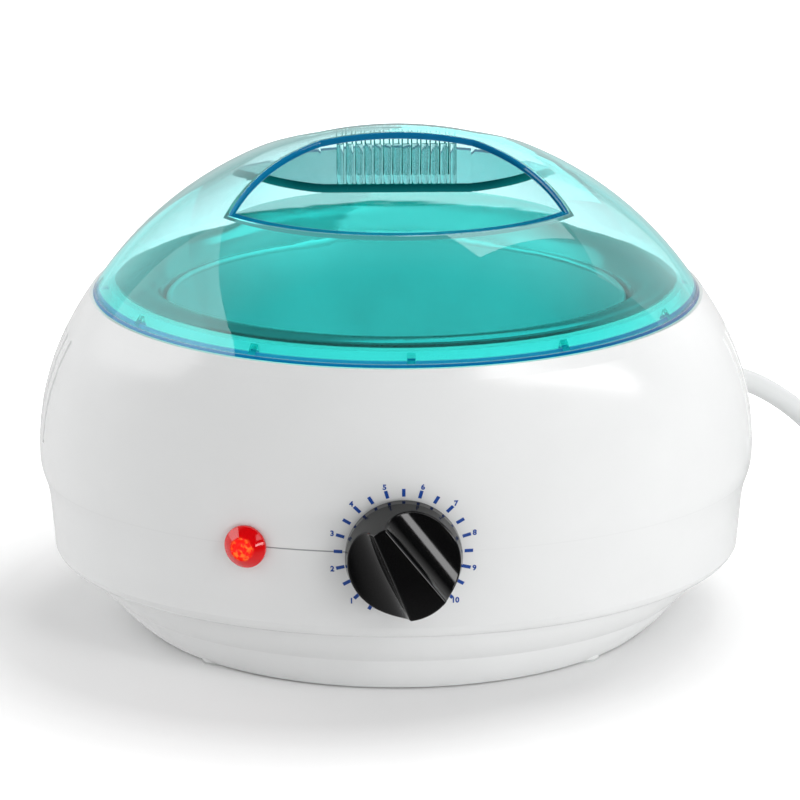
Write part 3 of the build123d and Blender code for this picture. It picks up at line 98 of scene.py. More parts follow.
def moulded(name, dark, pale, roughness, grain, relief, ior=1.5, **more):
    """A moulded or extruded plastic or rubber. Its colour drifts from dark to pale over about 25 mm, and
    its skin has a grain of that many millimetres, raised by relief millimetres. Returns the material and
    its shader."""
    material = new_material(name)
    place = add_node(material, "ShaderNodeTexCoord").outputs["Object"]
    drift = add_node(material, "ShaderNodeTexNoise", {"Vector": place, "Scale": 1000 / 25, "Detail": 3.0})
    colour = add_node(material, "ShaderNodeMix", {
        "Factor": drift.outputs["Fac"], "A": srgb(dark), "B": srgb(pale)}, data_type="RGBA")
    skin = add_node(material, "ShaderNodeTexNoise", {"Vector": place, "Scale": 1000 / grain, "Detail": 4.0})
    dull = add_node(material, "ShaderNodeMapRange", {
        "Value": skin.outputs["Fac"], "To Min": roughness * 0.85, "To Max": roughness * 1.15})
    bump = add_node(material, "ShaderNodeBump", {
        "Height": skin.outputs["Fac"], "Distance": relief / 1000, "Strength": 1.0})
    shader = add_node(material, "ShaderNodeBsdfPrincipled", {
        "Base Color": colour.outputs["Result"], "Roughness": dull.outputs["Result"],
        "Normal": bump.outputs["Normal"], "IOR": ior, **more})
    add_node(material, "ShaderNodeOutputMaterial", {"Surface": shader.outputs["BSDF"]})
    return material, shader


def dress(material, *names):
    """Gives CAD nodes a material."""
    for name in names:
        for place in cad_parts[name].material_slots:
            place.material = material


cord_radius = 0.004
coil_middle_x = 213.0
coil_low = 4.85
coil_high = 13.45
plug_middle = 18.7
half_turn_points = 8
# The points stand outside the turns by this share, because the spline cuts inside its points
spline_cut = 0.9809
# The route's points are in millimetres. These run from the strain relief's root down to the coil
lead_route = [
    (105.84, 92.12, 48.8), (116.12, 104.38, 49.6), (132.0, 116.0, 44.4), (151.0, 124.0, 31.2),
    (165.0, 128.0, 15.6), (178.0, 130.0, 8.7), (191.5, 131.0, coil_low), (205.0, 131.0, coil_low)]
# Each half turn: radius, middle of the turn along Y, side, heights at its start and end, and its points
half_turns = [
    (56.5, 74.5, 1, coil_low, coil_low, 8), (52.2, 70.2, -1, coil_low, coil_low, 8),
    (47.9, 74.5, 1, coil_low, coil_low, 8), (43.6, 70.2, -1, coil_low, coil_low, 8),
    (39.3, 74.5, 1, coil_low, coil_high, 8), (43.6, 78.8, -1, coil_high, coil_high, 8),
    (47.9, 74.5, 1, coil_high, coil_high, 8), (52.2, 78.8, -1, coil_high, coil_high, 8),
    (56.5, 74.5, 1, coil_high, coil_high, 4)]
for radius, middle_y, side, start_height, end_height, count in half_turns:
    for step in range(count):
        share = (step + 0.5) / half_turn_points
        lead_route.append((
            coil_middle_x + side * radius / spline_cut * math.sin(math.pi * share),
            middle_y + side * radius / spline_cut * math.cos(math.pi * share),
            start_height + (end_height - start_height) * share))
lead_route += [
    (269.5, 66.5, coil_high), (269.5, 51.0, coil_high), (266.5, 31.0, plug_middle),
    (266.5, 14.0, plug_middle)]
lead_curve = bpy.data.curves.new("mains_lead", "CURVE")
lead_curve.dimensions = "3D"
lead_curve.resolution_u = 10
lead_curve.bevel_depth = cord_radius
lead_curve.bevel_resolution = 6
lead_curve.use_fill_caps = True
lead_line = lead_curve.splines.new("NURBS")
lead_line.points.add(len(lead_route) - 1)
for point, (x, y, z) in zip(lead_line.points, lead_route):
    point.co = (x / 1000, y / 1000 + axis_back, z / 1000, 1.0)
lead_line.order_u = 3
lead_line.use_endpoint_u = True
mains_lead = bpy.data.objects.new("mains_lead", lead_curve)
bpy.context.scene.collection.objects.link(mains_lead)
pvc_sleeve, _ = moulded("extruded_pvc_sleeve", "#DCDEDE", "#E4E6E6", 0.38, 0.6, 0.02, 1.53)
lead_curve.materials.append(pvc_sleeve)
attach(mains_lead, "base")
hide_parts("cord", "cord_coil", "cord_tail")


# Strain relief: a tapered sleeve of soft PVC, moulded onto the lead, with rings cut into it so that it
# bends evenly. Its flange and neck are trapped in the casing's seam. The moulded skin is a little duller
# than the lead's.
def new_piece(name, shape, material, body):
    """Turns a finished bmesh into an object that rides on a body and takes its finish from a slot."""
    mesh = bpy.data.meshes.new(name)
    shape.to_mesh(mesh)
    shape.free()
    piece = bpy.data.objects.new(name, mesh)
    bpy.context.scene.collection.objects.link(piece)
    mesh.materials.append(material)
    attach(piece, body)
    return piece


def turned(profile, steps=64):
    """A bmesh turned about Z from a profile of (radius, height) in metres, as on a lathe."""
    shape = bmesh.new()
    corners = [shape.verts.new((radius, 0.0, height)) for radius, height in profile]
    for one, other in zip(corners, corners[1:]):
        shape.edges.new((one, other))
    bmesh.ops.spin(
        shape, geom=shape.verts[:] + shape.edges[:], cent=(0, 0, 0), axis=(0, 0, 1),
        angle=math.tau, steps=steps, use_merge=True)
    bmesh.ops.remove_doubles(shape, verts=shape.verts[:], dist=1e-6)
    bmesh.ops.recalc_face_normals(shape, faces=shape.faces[:])
    for face in shape.faces:
        face.smooth = True
    return shape


def crease(shape, angle, width):
    """Rounds the edges of a bmesh that are sharper than an angle in degrees."""
    sharp = [edge for edge in shape.edges
             if len(edge.link_faces) == 2 and edge.calc_face_angle(0.0) > math.radians(angle)]
    bmesh.ops.bevel(
        shape, geom=sharp, offset=width, offset_type="OFFSET", segments=2, profile=0.5,
        affect="EDGES", material=-1, clamp_overlap=True)
    for face in shape.faces:
        face.smooth = True


def stand_out(shape, place, way):
    """Moves a bmesh's origin to a place, with its Z axis along a way."""
    bmesh.ops.transform(
        shape, matrix=Matrix.Translation(place) @ way.to_track_quat("Z", "Y").to_matrix().to_4x4(),
        verts=shape.verts[:])


seam_height = 0.0488
exit_turn = math.radians(50.0)
exit_way = Vector((math.cos(exit_turn), math.sin(exit_turn), 0.0))
exit_wall = Vector((0.08527, 0.06761 + axis_back, seam_height))
flange_radius = 0.008
flange_back = -0.0062
flange_front = -0.0037
neck_radius = 0.0062
relief_foot = 0.0002
relief_length = 0.032
relief_root = 0.0068
relief_tip = 0.0049
first_ring = 0.0045
ring_pitch = 0.0042
ring_gap = 0.0016
ring_cut = 0.0011
relief_profile = [
    (0.0, flange_back), (flange_radius, flange_back), (flange_radius, flange_front),
    (neck_radius, flange_front), (neck_radius, relief_foot), (relief_root, relief_foot)]
for ring in range(6):
    foot = first_ring + ring * ring_pitch
    for along, sunk in ((0.0, 0.0), (0.0, 1.0), (ring_gap, 1.0), (ring_gap, 0.0)):
        taper = relief_root + (relief_tip - relief_root) * (foot + along) / relief_length
        relief_profile.append((taper - sunk * ring_cut, foot + along))
relief_profile += [
    (relief_tip, relief_length - 0.0006), (relief_tip - 0.0004, relief_length), (0.0, relief_length)]
relief_shape = turned(relief_profile, 48)
crease(relief_shape, 35.0, 0.0002)
stand_out(relief_shape, exit_wall, exit_way)
moulded_pvc, _ = moulded("moulded_pvc_grey", "#D8DADA", "#E0E2E2", 0.42, 0.8, 0.03, 1.53)
ribbed_relief = new_piece("ribbed_strain_relief", relief_shape, moulded_pvc, "base")
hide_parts("strain_relief")

# Coil tie: a strap of woven nylon hook-and-loop, 10 mm wide, wrapped once round the coil and pressed shut
# on itself. Its woven face gives fine cross ribs and a dull, slightly fuzzy black.
tie_low, tie_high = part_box("coil_tie")
tie_thickness = 0.0008
tie_corner = 0.0045
tie_edge = 0.0002
end_length = 0.0085
end_height = 0.0095
end_thickness = 0.0011
end_proud = 0.0001
end_side = 0.0002
end_round = 0.0003
weave_pitch = 0.0007
strap = bmesh.new()
strap_corners = [
    strap.verts.new((x, tie_low[1], z))
    for x, z in ((tie_low[0], tie_low[2]), (tie_high[0], tie_low[2]), (tie_high[0], tie_high[2]),
                 (tie_low[0], tie_high[2]))]
for one, other in zip(strap_corners, strap_corners[1:] + strap_corners[:1]):
    strap.edges.new((one, other))
bmesh.ops.bevel(
    strap, geom=strap.verts[:], offset=tie_corner, offset_type="OFFSET", segments=8, profile=0.5,
    affect="VERTICES", material=-1)
strap_sides = bmesh.ops.extrude_edge_only(strap, edges=strap.edges[:])["geom"]
bmesh.ops.translate(
    strap, vec=(0.0, tie_high[1] - tie_low[1], 0.0),
    verts=[part for part in strap_sides if isinstance(part, bmesh.types.BMVert)])
bmesh.ops.recalc_face_normals(strap, faces=strap.faces[:])
bmesh.ops.solidify(strap, geom=strap.faces[:], thickness=tie_thickness)
crease(strap, 60.0, tie_edge)
# The strap's end lies on its outer side
strap_end = bmesh.ops.create_cube(strap, size=1.0, matrix=Matrix.Translation(
    (tie_low[0] - end_proud, (tie_low[1] + tie_high[1]) / 2, tie_low[2] + end_height)) @ Matrix.Diagonal(
    (end_thickness, tie_high[1] - tie_low[1] - 2 * end_side, end_length, 1.0)))
end_edges = [edge for edge in strap.edges if all(corner in strap_end["verts"] for corner in edge.verts)]
bmesh.ops.bevel(
    strap, geom=end_edges, offset=end_round, offset_type="OFFSET", segments=2, profile=0.5,
    affect="EDGES", material=-1)
woven_nylon, woven_shader = moulded(
    "woven_nylon_strap", "#16171A", "#222326", 0.85, 0.5, 0.12, 1.53, **{"Sheen Weight": 0.35})
# The weave's ribs run across the strap. A wave texture of scale 1 has a rib each tau / 20 metres
weave_place = add_node(woven_nylon, "ShaderNodeTexCoord").outputs["Object"]
weave = add_node(woven_nylon, "ShaderNodeTexWave", {
    "Vector": weave_place, "Scale": math.tau / 20 / weave_pitch, "Distortion": 1.5, "Detail": 2.0},
    bands_direction="Z")
weave_bump = add_node(woven_nylon, "ShaderNodeBump", {
    "Height": weave.outputs["Fac"], "Distance": 0.00015,
    "Normal": woven_shader.inputs["Normal"].links[0].from_socket})
woven_nylon.node_tree.links.new(weave_bump.outputs["Normal"], woven_shader.inputs["Normal"])
tie_strap = new_piece("hook_and_loop_tie", strap, woven_nylon, "base")
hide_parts("coil_tie")


# Plug: a round two-pin plug moulded onto the lead's end in grey PVC, with nickel-plated brass pins and
# earth strips in its two notches. The moulding has a finely eroded skin, and the plating is smooth with
# faint marks.
def worked_metal(name, colour, roughness, mark, relief):
    """A metal surface with fine marks of a size and depth in millimetres, and clouds in its gloss about
    17 mm across. Returns the material and its shader."""
    material = new_material(name)
    place = add_node(material, "ShaderNodeTexCoord").outputs["Object"]
    marks = add_node(material, "ShaderNodeTexNoise", {"Vector": place, "Scale": 1000 / mark, "Detail": 5.0})
    cloud = add_node(material, "ShaderNodeTexNoise", {"Vector": place, "Scale": 60.0, "Detail": 2.0})
    dull = add_node(material, "ShaderNodeMapRange", {
        "Value": cloud.outputs["Fac"], "To Min": roughness * 0.75, "To Max": roughness * 1.25})
    tone = add_node(material, "ShaderNodeMix", {
        "Factor": cloud.outputs["Fac"], "A": [part * 0.9 for part in srgb(colour)[:3]] + [1.0],
        "B": srgb(colour)}, data_type="RGBA")
    bump = add_node(material, "ShaderNodeBump", {
        "Height": marks.outputs["Fac"], "Distance": relief / 1000, "Strength": 1.0})
    shader = add_node(material, "ShaderNodeBsdfPrincipled", {
        "Base Color": tone.outputs["Result"], "Metallic": 1.0, "Roughness": dull.outputs["Result"],
        "Normal": bump.outputs["Normal"]})
    add_node(material, "ShaderNodeOutputMaterial", {"Surface": shader.outputs["BSDF"]})
    return material, shader


dress(moulded_pvc, "plug_body")
nickel_plate, _ = worked_metal("nickel_plate", "#C9C4B8", 0.18, 0.5, 0.004)
dress(nickel_plate, "plug_pins", "plug_earth_strips")

# Casing: an upper shell and a lower tub, injection moulded in white ABS with a polished outer face, that
# meet at a fine groove round the belly. Polished ABS is glossy but slightly wavy, and lets a little light
# into its skin.
seam_half_width = 0.00012
seam_fade_end = 0.0003
seam_step = 0.00006
casing_abs, casing_shader = moulded(
    "moulded_white_abs", "#E4E5E5", "#E9EAEA", 0.2, 1.4, 0.006, 1.53,
    **{"Subsurface Weight": 0.08, "Subsurface Radius": (1.0, 1.0, 1.0), "Subsurface Scale": 0.0012})
casing_place = add_node(casing_abs, "ShaderNodeTexCoord").outputs["Object"]
casing_height = add_node(casing_abs, "ShaderNodeSeparateXYZ", {"Vector": casing_place}).outputs["Z"]
seam_offset = add_node(
    casing_abs, "ShaderNodeMath", {0: casing_height, 1: seam_height}, operation="SUBTRACT")
seam_distance = add_node(casing_abs, "ShaderNodeMath", {0: seam_offset.outputs[0]}, operation="ABSOLUTE")
# The groove is 0.24 mm wide and fades to the full white over another 0.18 mm on each side
seam_open = add_node(casing_abs, "ShaderNodeMapRange", {
    "Value": seam_distance.outputs[0], "From Min": seam_half_width, "From Max": seam_fade_end,
    "To Min": 0.0, "To Max": 1.0}, interpolation_type="SMOOTHSTEP")
# The halves touch all round, but stand a hair apart between the lamp's hole and the knob's
seam_gap_middle = (-0.033, -0.0865, seam_height)
seam_gap_near = 0.010
seam_gap_far = 0.024
seam_reach = add_node(casing_abs, "ShaderNodeVectorMath", {
    0: casing_place, 1: seam_gap_middle}, operation="DISTANCE")
seam_dark = add_node(casing_abs, "ShaderNodeMapRange", {
    "Value": seam_reach.outputs["Value"], "From Min": seam_gap_near, "From Max": seam_gap_far,
    "To Min": 1.0, "To Max": 0.0}, interpolation_type="SMOOTHSTEP")
# In that gap the groove's shade is painted in grey on the white
seam_painted_shade = add_node(casing_abs, "ShaderNodeMix", {
    "Factor": seam_dark.outputs["Result"], "A": srgb("#E4E5E5"), "B": srgb("#96989A")}, data_type="RGBA")
casing_white = casing_shader.inputs["Base Color"].links[0].from_socket
seam_tone = add_node(casing_abs, "ShaderNodeMix", {
    "Factor": seam_open.outputs["Result"], "A": seam_painted_shade.outputs["Result"], "B": casing_white},
    data_type="RGBA")
casing_abs.node_tree.links.new(seam_tone.outputs["Result"], casing_shader.inputs["Base Color"])
seam_bump = add_node(casing_abs, "ShaderNodeBump", {
    "Height": seam_open.outputs["Result"], "Distance": seam_step, "Strength": seam_dark.outputs["Result"],
    "Normal": casing_shader.inputs["Normal"].links[0].from_socket})
casing_abs.node_tree.links.new(seam_bump.outputs["Normal"], casing_shader.inputs["Normal"])
dress(casing_abs, "upper_casing", "lower_casing")

# Dial: ticks and the figures 1 to 10, pad printed on the wall in dark blue ink. The ink lies 0.05 mm
# thick on the curved wall, with a satin face. The plane of the dial leans with the wall.
dial_middle = Vector((0.0, -0.096990 + axis_back, seam_height))
dial_lean = math.radians(3.6315)
dial_out = Vector((0.0, -math.cos(dial_lean), -math.sin(dial_lean)))
dial_up = Vector((0.0, -math.sin(dial_lean), math.cos(dial_lean)))
dial_frame = Matrix((
    (1.0, 0.0, 0.0, 0.0), (0.0, dial_up.y, dial_out.y, 0.0), (0.0, dial_up.z, dial_out.z, 0.0),
    (0.0, 0.0, 0.0, 1.0)))
ink_thickness = 0.00005
tick_radius = 0.0206
tick_length = 0.0027
tick_width = 0.0011
tick_count = 21
first_tick = -150
tick_step = 15
figure_radius = 0.0232
figure_height = 0.0018
# The font's figures are this share of its size tall, and each stroke is widened by the second number
figure_share = 0.73
stroke_swell = 0.0001
# The print is cast onto the wall from this far in front of it
cast_distance = 0.02
dial_print = bmesh.new()
for tick in range(tick_count):
    turn = math.radians(first_tick + tick_step * tick)
    bmesh.ops.create_cube(dial_print, size=1.0, matrix=Matrix.Rotation(-turn, 4, "Z") @ Matrix.Translation(
        (0.0, tick_radius, 0.0)) @ Matrix.Diagonal((tick_width, tick_length, ink_thickness, 1.0)))
for figure in range(1, 11):
    turn = math.radians(first_tick + tick_step * (2 * figure - 1))
    text = bpy.data.curves.new("dial_figure", "FONT")
    text.body = str(figure)
    text.size = figure_height / figure_share
    text.align_x = "CENTER"
    text.align_y = "CENTER"
    text.offset = stroke_swell
    text.extrude = ink_thickness / 2
    text.resolution_u = 4
    text_object = bpy.data.objects.new("dial_figure", text)
    bpy.context.scene.collection.objects.link(text_object)
    bpy.context.view_layer.update()
    figure_mesh = bpy.data.meshes.new_from_object(text_object)
    figure_mesh.transform(Matrix.Translation(
        (figure_radius * math.sin(turn), figure_radius * math.cos(turn), 0.0)))
    dial_print.from_mesh(figure_mesh)
    bpy.data.objects.remove(text_object)
    bpy.data.meshes.remove(figure_mesh)
bmesh.ops.remove_doubles(dial_print, verts=dial_print.verts[:], dist=1e-7)
bmesh.ops.recalc_face_normals(dial_print, faces=dial_print.faces[:])
wall_points, wall_faces = [], []
for name in ("upper_casing", "lower_casing"):
    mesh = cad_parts[name].data
    wall_faces += [[corner + len(wall_points) for corner in face.vertices] for face in mesh.polygons]
    wall_points += [corner.co.copy() for corner in mesh.vertices]
wall = BVHTree.FromPolygons(wall_points, wall_faces)
for corner in dial_print.verts:
    lift = corner.co.z + ink_thickness / 2
    above = dial_middle + dial_frame.to_3x3() @ Vector((corner.co.x, corner.co.y, cast_distance))
    hit = wall.ray_cast(above, -dial_out)[0]
    corner.co = hit + dial_out * lift
dial_ink, _ = moulded("pad_printed_blue_ink", "#08429A", "#0B49A4", 0.4, 0.3, 0.004)
dial_scale = new_piece("dial_scale", dial_print, dial_ink, "base")

# Control knob: a hollow cap moulded in glossy black phenolic, pressed onto the thermostat's shaft with a
# leaf spring in its hub. Two scoops leave a bar between them as its pointer. The gloss is deep, with
# faint flow waves.
knob_black, _ = moulded("glossy_black_phenolic", "#050506", "#080809", 0.09, 2.5, 0.004)
dress(knob_black, "control_knob")

# Pilot lamp: a lens of red polycarbonate, pushed through a hole in the seam and held from behind by a
# spring ring. Its head has a sloped ring round a flatter eye with fine concentric steps that spread the
# neon's light.
lamp_turn = math.radians(-110.4)
lamp_way = Vector((math.cos(lamp_turn), math.sin(lamp_turn), 0.0))
lamp_wall = Vector((-0.04933, -0.08825 + axis_back, seam_height))
eye_height = 0.0043
step_height = 0.0041
eye_lit = 0.0032
eye_end = 0.0042
# Radius and height above the wall, from the eye's middle out over the steps and the slope, and back to
# the bore
lens_profile = [
    (0.0, eye_height), (0.0008, eye_height), (0.0009, step_height), (0.0017, step_height),
    (0.0018, eye_height), (0.0026, eye_height), (0.0027, step_height), (0.0034, step_height),
    (0.0036, 0.0046), (0.0039, 0.0046), (0.0067, 0.0022), (0.0069, 0.0019), (0.0069, 0.0008),
    (0.0048, 0.0008), (0.0048, -0.0122), (0.0034, -0.0122), (0.0034, 0.0008), (0.0, 0.0008)]
lens_shape = turned(lens_profile)
crease(lens_shape, 25.0, 0.00006)
stand_out(lens_shape, lamp_wall, lamp_way)
lens_red, lens_shader = moulded(
    "red_polycarbonate", "#D80008", "#E2040C", 0.08, 1.2, 0.004, 1.58, **{"Transmission Weight": 0.15})
# The neon lights the eye from behind, so that it is brighter than the ring round it. Orange painted
# highlights lie on the eye in spots of about 1.4 mm, and the ring has a dim painted red glow
lens_place = add_node(lens_red, "ShaderNodeTexCoord").outputs["Object"]
lens_reach = add_node(lens_red, "ShaderNodeVectorMath", {
    0: lens_place, 1: lamp_wall + lamp_way * eye_height}, operation="DISTANCE")
lens_eye = add_node(lens_red, "ShaderNodeMapRange", {
    "Value": lens_reach.outputs["Value"], "From Min": eye_lit, "From Max": eye_end,
    "To Min": 1.0, "To Max": 0.0})
lens_spots = add_node(lens_red, "ShaderNodeTexNoise", {"Vector": lens_place, "Scale": 700.0, "Detail": 1.0})
lens_highlight_spots = add_node(lens_red, "ShaderNodeMapRange", {
    "Value": lens_spots.outputs["Fac"], "From Min": 0.5, "From Max": 0.66, "To Min": 0.0, "To Max": 1.0})
eye_glow_and_highlights = add_node(lens_red, "ShaderNodeMix", {
    "Factor": lens_highlight_spots.outputs["Result"], "A": srgb("#E8281A"), "B": srgb("#FF9436")}, data_type="RGBA")
lens_glow_with_painted_light = add_node(lens_red, "ShaderNodeMix", {
    "Factor": lens_eye.outputs["Result"], "A": srgb("#5A0000"), "B": eye_glow_and_highlights.outputs["Result"]},
    data_type="RGBA")
lens_red.node_tree.links.new(lens_glow_with_painted_light.outputs["Result"], lens_shader.inputs["Emission Color"])
lens_shader.inputs["Emission Strength"].default_value = 0.6
stepped_lens = new_piece("stepped_indicator_lens", lens_shape, lens_red, "base")
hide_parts("indicator_lens")

# Lid: a dome injection moulded in clear teal polystyrene, 2.6 mm thick, with two finger scoops that leave
# a ribbed bar. It rests loose on the casing's shoulder. The tint deepens with the thickness of plastic in
# view.
dome_radius = 0.12108
dome_middle = (0.0, axis_back, 0.04342)
edge_near = 0.0001
edge_far = 0.002
scoop_height = 0.1432
rim_band_height = 0.1109
tint_side = 0.09
tint_density = 150.0
plain_white = srgb("#FFFFFF")
lid_clear = new_material("clear_teal_polystyrene")
lid_place = add_node(lid_clear, "ShaderNodeTexCoord").outputs["Object"]
lid_parts = add_node(lid_clear, "ShaderNodeSeparateXYZ", {"Vector": lid_place})
# The polished face is wavy by 0.03 mm, in waves about 17 mm long
lid_wave = add_node(lid_clear, "ShaderNodeTexNoise", {"Vector": lid_place, "Scale": 60.0, "Detail": 1.0})
lid_bump = add_node(lid_clear, "ShaderNodeBump", {"Height": lid_wave.outputs["Fac"], "Distance": 0.00003})
# Painted light: the light piped through the plastic is painted as a bright blue, with less transmission, at
# the scoops' rounded edges, which lie up to 2.2 mm under the dome's face, and at the lowest 1.3 mm of the
# rim
lid_reach = add_node(
    lid_clear, "ShaderNodeVectorMath", {0: lid_place, 1: dome_middle}, operation="DISTANCE")
below_face = add_node(lid_clear, "ShaderNodeMapRange", {
    "Value": lid_reach.outputs["Value"], "From Min": dome_radius - edge_near - 0.0001,
    "From Max": dome_radius - edge_near, "To Min": 1.0, "To Max": 0.0}, interpolation_type="SMOOTHSTEP")
above_wall = add_node(lid_clear, "ShaderNodeMapRange", {
    "Value": lid_reach.outputs["Value"], "From Min": dome_radius - edge_far - 0.0004,
    "From Max": dome_radius - edge_far, "To Min": 0.0, "To Max": 1.0}, interpolation_type="SMOOTHSTEP")
over_scoops = add_node(lid_clear, "ShaderNodeMapRange", {
    "Value": lid_parts.outputs["Z"], "From Min": scoop_height, "From Max": scoop_height + 0.0002,
    "To Min": 0.0, "To Max": 1.0})
edge_band = add_node(lid_clear, "ShaderNodeMath", {
    0: below_face.outputs["Result"], 1: above_wall.outputs["Result"]}, operation="MULTIPLY")
scoop_edges = add_node(lid_clear, "ShaderNodeMath", {
    0: edge_band.outputs[0], 1: over_scoops.outputs["Result"]}, operation="MULTIPLY")
rim_band = add_node(lid_clear, "ShaderNodeMapRange", {
    "Value": lid_parts.outputs["Z"], "From Min": rim_band_height, "From Max": rim_band_height + 0.0004,
    "To Min": 1.0, "To Max": 0.0}, interpolation_type="SMOOTHSTEP")
lid_edges = add_node(lid_clear, "ShaderNodeMath", {
    0: scoop_edges.outputs[0], 1: rim_band.outputs["Result"]}, operation="MAXIMUM")
# The painted blue is darker at the right, as painted shade
edge_shade_side = add_node(lid_clear, "ShaderNodeMapRange", {
    "Value": lid_parts.outputs["X"], "From Min": -tint_side, "From Max": tint_side,
    "To Min": 0.0, "To Max": 1.0})
painted_edge_light = add_node(lid_clear, "ShaderNodeMix", {
    "Factor": edge_shade_side.outputs["Result"], "A": srgb("#1284BC"), "B": srgb("#065A96")}, data_type="RGBA")
lid_colour = add_node(lid_clear, "ShaderNodeMix", {
    "Factor": lid_edges.outputs[0], "A": plain_white, "B": painted_edge_light.outputs["Result"]}, data_type="RGBA")
lid_through = add_node(lid_clear, "ShaderNodeMapRange", {
    "Value": lid_edges.outputs[0], "To Min": 1.0, "To Max": 0.3})
lid_shader = add_node(lid_clear, "ShaderNodeBsdfPrincipled", {
    "Base Color": lid_colour.outputs["Result"], "Roughness": 0.02, "IOR": 1.57,
    "Transmission Weight": lid_through.outputs["Result"], "Normal": lid_bump.outputs["Normal"]})
lid_tint = add_node(lid_clear, "ShaderNodeVolumeAbsorption", {
    "Color": srgb("#30CED2"), "Density": tint_density})
# Light that reaches the pot and the well passes through the lid as through a deeply tinted sheet
lid_pass = add_node(lid_clear, "ShaderNodeBsdfTransparent", {"Color": srgb("#8BF1EC")})
lid_path = add_node(lid_clear, "ShaderNodeLightPath")
lid_indirect = add_node(lid_clear, "ShaderNodeMath", {
    0: lid_path.outputs["Is Shadow Ray"], 1: lid_path.outputs["Is Diffuse Ray"]}, operation="MAXIMUM")
# A ray that glass has bent counts as a glossy one too, so that is taken off
lid_mirrored = add_node(lid_clear, "ShaderNodeMath", {
    0: lid_path.outputs["Is Glossy Ray"], 1: lid_path.outputs["Is Transmission Ray"]},
    operation="SUBTRACT")
lid_lit = add_node(lid_clear, "ShaderNodeMath", {
    0: lid_indirect.outputs[0], 1: lid_mirrored.outputs[0]}, operation="MAXIMUM")
lid_mix = add_node(lid_clear, "ShaderNodeMixShader", {
    "Fac": lid_lit.outputs[0], 1: lid_shader.outputs["BSDF"], 2: lid_pass.outputs["BSDF"]})
add_node(lid_clear, "ShaderNodeOutputMaterial", {
    "Surface": lid_mix.outputs["Shader"], "Volume": lid_tint.outputs["Volume"]})
dress(lid_clear, "lid")


# Wax pot and heating well: both spun from 1 mm aluminium sheet. The pot is satin with fine turning rings,
# and the well's flange under the lid's rim is polished. Rings are 0.5 mm apart, coarser than real ones,
# so that they show.
turning_pitch = 0.0005


def spun_aluminium(name, colour, roughness, relief):
    """Aluminium with concentric marks about the well's axis."""
    material, shader = worked_metal(name, colour, roughness, 0.8, 0.004)
    place = add_node(material, "ShaderNodeTexCoord").outputs["Object"]
    centred = add_node(material, "ShaderNodeMapping", {"Vector": place, "Location": (0.0, -axis_back, 0.0)})
    rings = add_node(material, "ShaderNodeTexWave", {
        "Vector": centred.outputs["Vector"], "Scale": math.tau / 20 / turning_pitch, "Distortion": 0.6,
        "Detail": 2.0, "Detail Scale": 4.0}, wave_type="RINGS", rings_direction="Z")
    bump = add_node(material, "ShaderNodeBump", {
        "Height": rings.outputs["Fac"], "Distance": relief / 1000,
        "Normal": shader.inputs["Normal"].links[0].from_socket})
    material.node_tree.links.new(bump.outputs["Normal"], shader.inputs["Normal"])
    return material


satin_aluminium = spun_aluminium("satin_spun_aluminium", "#EEEEEF", 0.4, 0.01)
dress(satin_aluminium, "wax_pot")
# The thermal fuse's case is bright aluminium too
polished_aluminium = spun_aluminium("polished_spun_aluminium", "#BCBFC0", 0.18, 0.003)
dress(polished_aluminium, "heating_well", "thermal_fuse")

# Well seal: a ring moulded in silicone, squeezed between the well's flange and the casing's collar. It is
# soft white and matt.
seal_silicone, _ = moulded("moulded_white_silicone", "#D9D9D4", "#E0E0DC", 0.6, 0.5, 0.02, 1.41)
dress(seal_silicone, "well_seal")

# Feet: four plugs moulded in pale rubber, whose stems are pushed into the screw bosses. Rubber is matt,
# with a fine moulded skin.
foot_rubber, _ = moulded("moulded_pale_rubber", "#BFC1C0", "#CACCCB", 0.75, 0.4, 0.03, 1.52)
dress(foot_rubber, "foot_front_left", "foot_front_right", "foot_back_left", "foot_back_right")

# Screws, and the well's stud and nut: cold-headed steel, zinc plated in a barrel, which gives a satin
# blue-grey brightness with fine knocks.
zinc_steel, _ = worked_metal("zinc_plated_steel", "#B4B7BA", 0.3, 0.3, 0.006)
dress(
    zinc_steel, "casing_screws", "bracket_screws", "thermostat_screws", "clamp_screws", "well_stud",
    "heater_nut")

# Brackets, clips, spring ring and plates: punched and bent from galvanised sheet and screwed in place.
# The zinc has a faint mottled grain.
sheet_steel, _ = worked_metal("galvanised_sheet_steel", "#A9ACAE", 0.38, 2.5, 0.008)
dress(
    sheet_steel, "well_brackets", "bulb_clip", "fuse_clip", "lamp_retainer", "heater_clamp_plate",
    "thermostat_plate", "knob_spring")

# Thermostat shaft and tabs, terminal screws and earth ring: drawn or punched brass, bright with fine
# marks from the die.
brass, _ = worked_metal("drawn_brass", "#C9A657", 0.25, 0.4, 0.005)
dress(brass, "thermostat_shaft", "thermostat_tabs", "terminal_screws", "earth_ring")

# Sensor bulb and capillary: drawn copper tube, brazed shut and clipped to the well's wall. Heat has
# dulled it a little.
copper, _ = worked_metal("drawn_copper", "#B87A5B", 0.32, 0.5, 0.006)
dress(copper, "sensor_bulb", "capillary_tube")

# Thermostat body: compression moulded in brown phenolic, and held behind the wall by its plate. It has a
# dull sheen and a mottled powder grain.
phenolic, _ = moulded("brown_phenolic", "#2B1D16", "#3A281E", 0.35, 0.9, 0.01, 1.6)
dress(phenolic, "thermostat_body")

# Heater: two pressed mica discs with the winding between them, clamped under the well's floor. Mica shows
# silvery tan flakes a few millimetres across.
mica, _ = moulded("pressed_mica", "#9C9078", "#C9C0A6", 0.45, 2.0, 0.02, 1.56)
dress(mica, "heater_element")

# Terminal block, lamp plug and lead clamp: injection moulded in cream polyamide, which has a satin skin.
# The clamp is screwed to a pillar of the lower casing.
polyamide, _ = moulded("cream_polyamide", "#DAD3BC", "#E3DCC8", 0.42, 0.8, 0.015, 1.53)
dress(polyamide, "terminal_block", "lamp_plug", "cord_clamp")

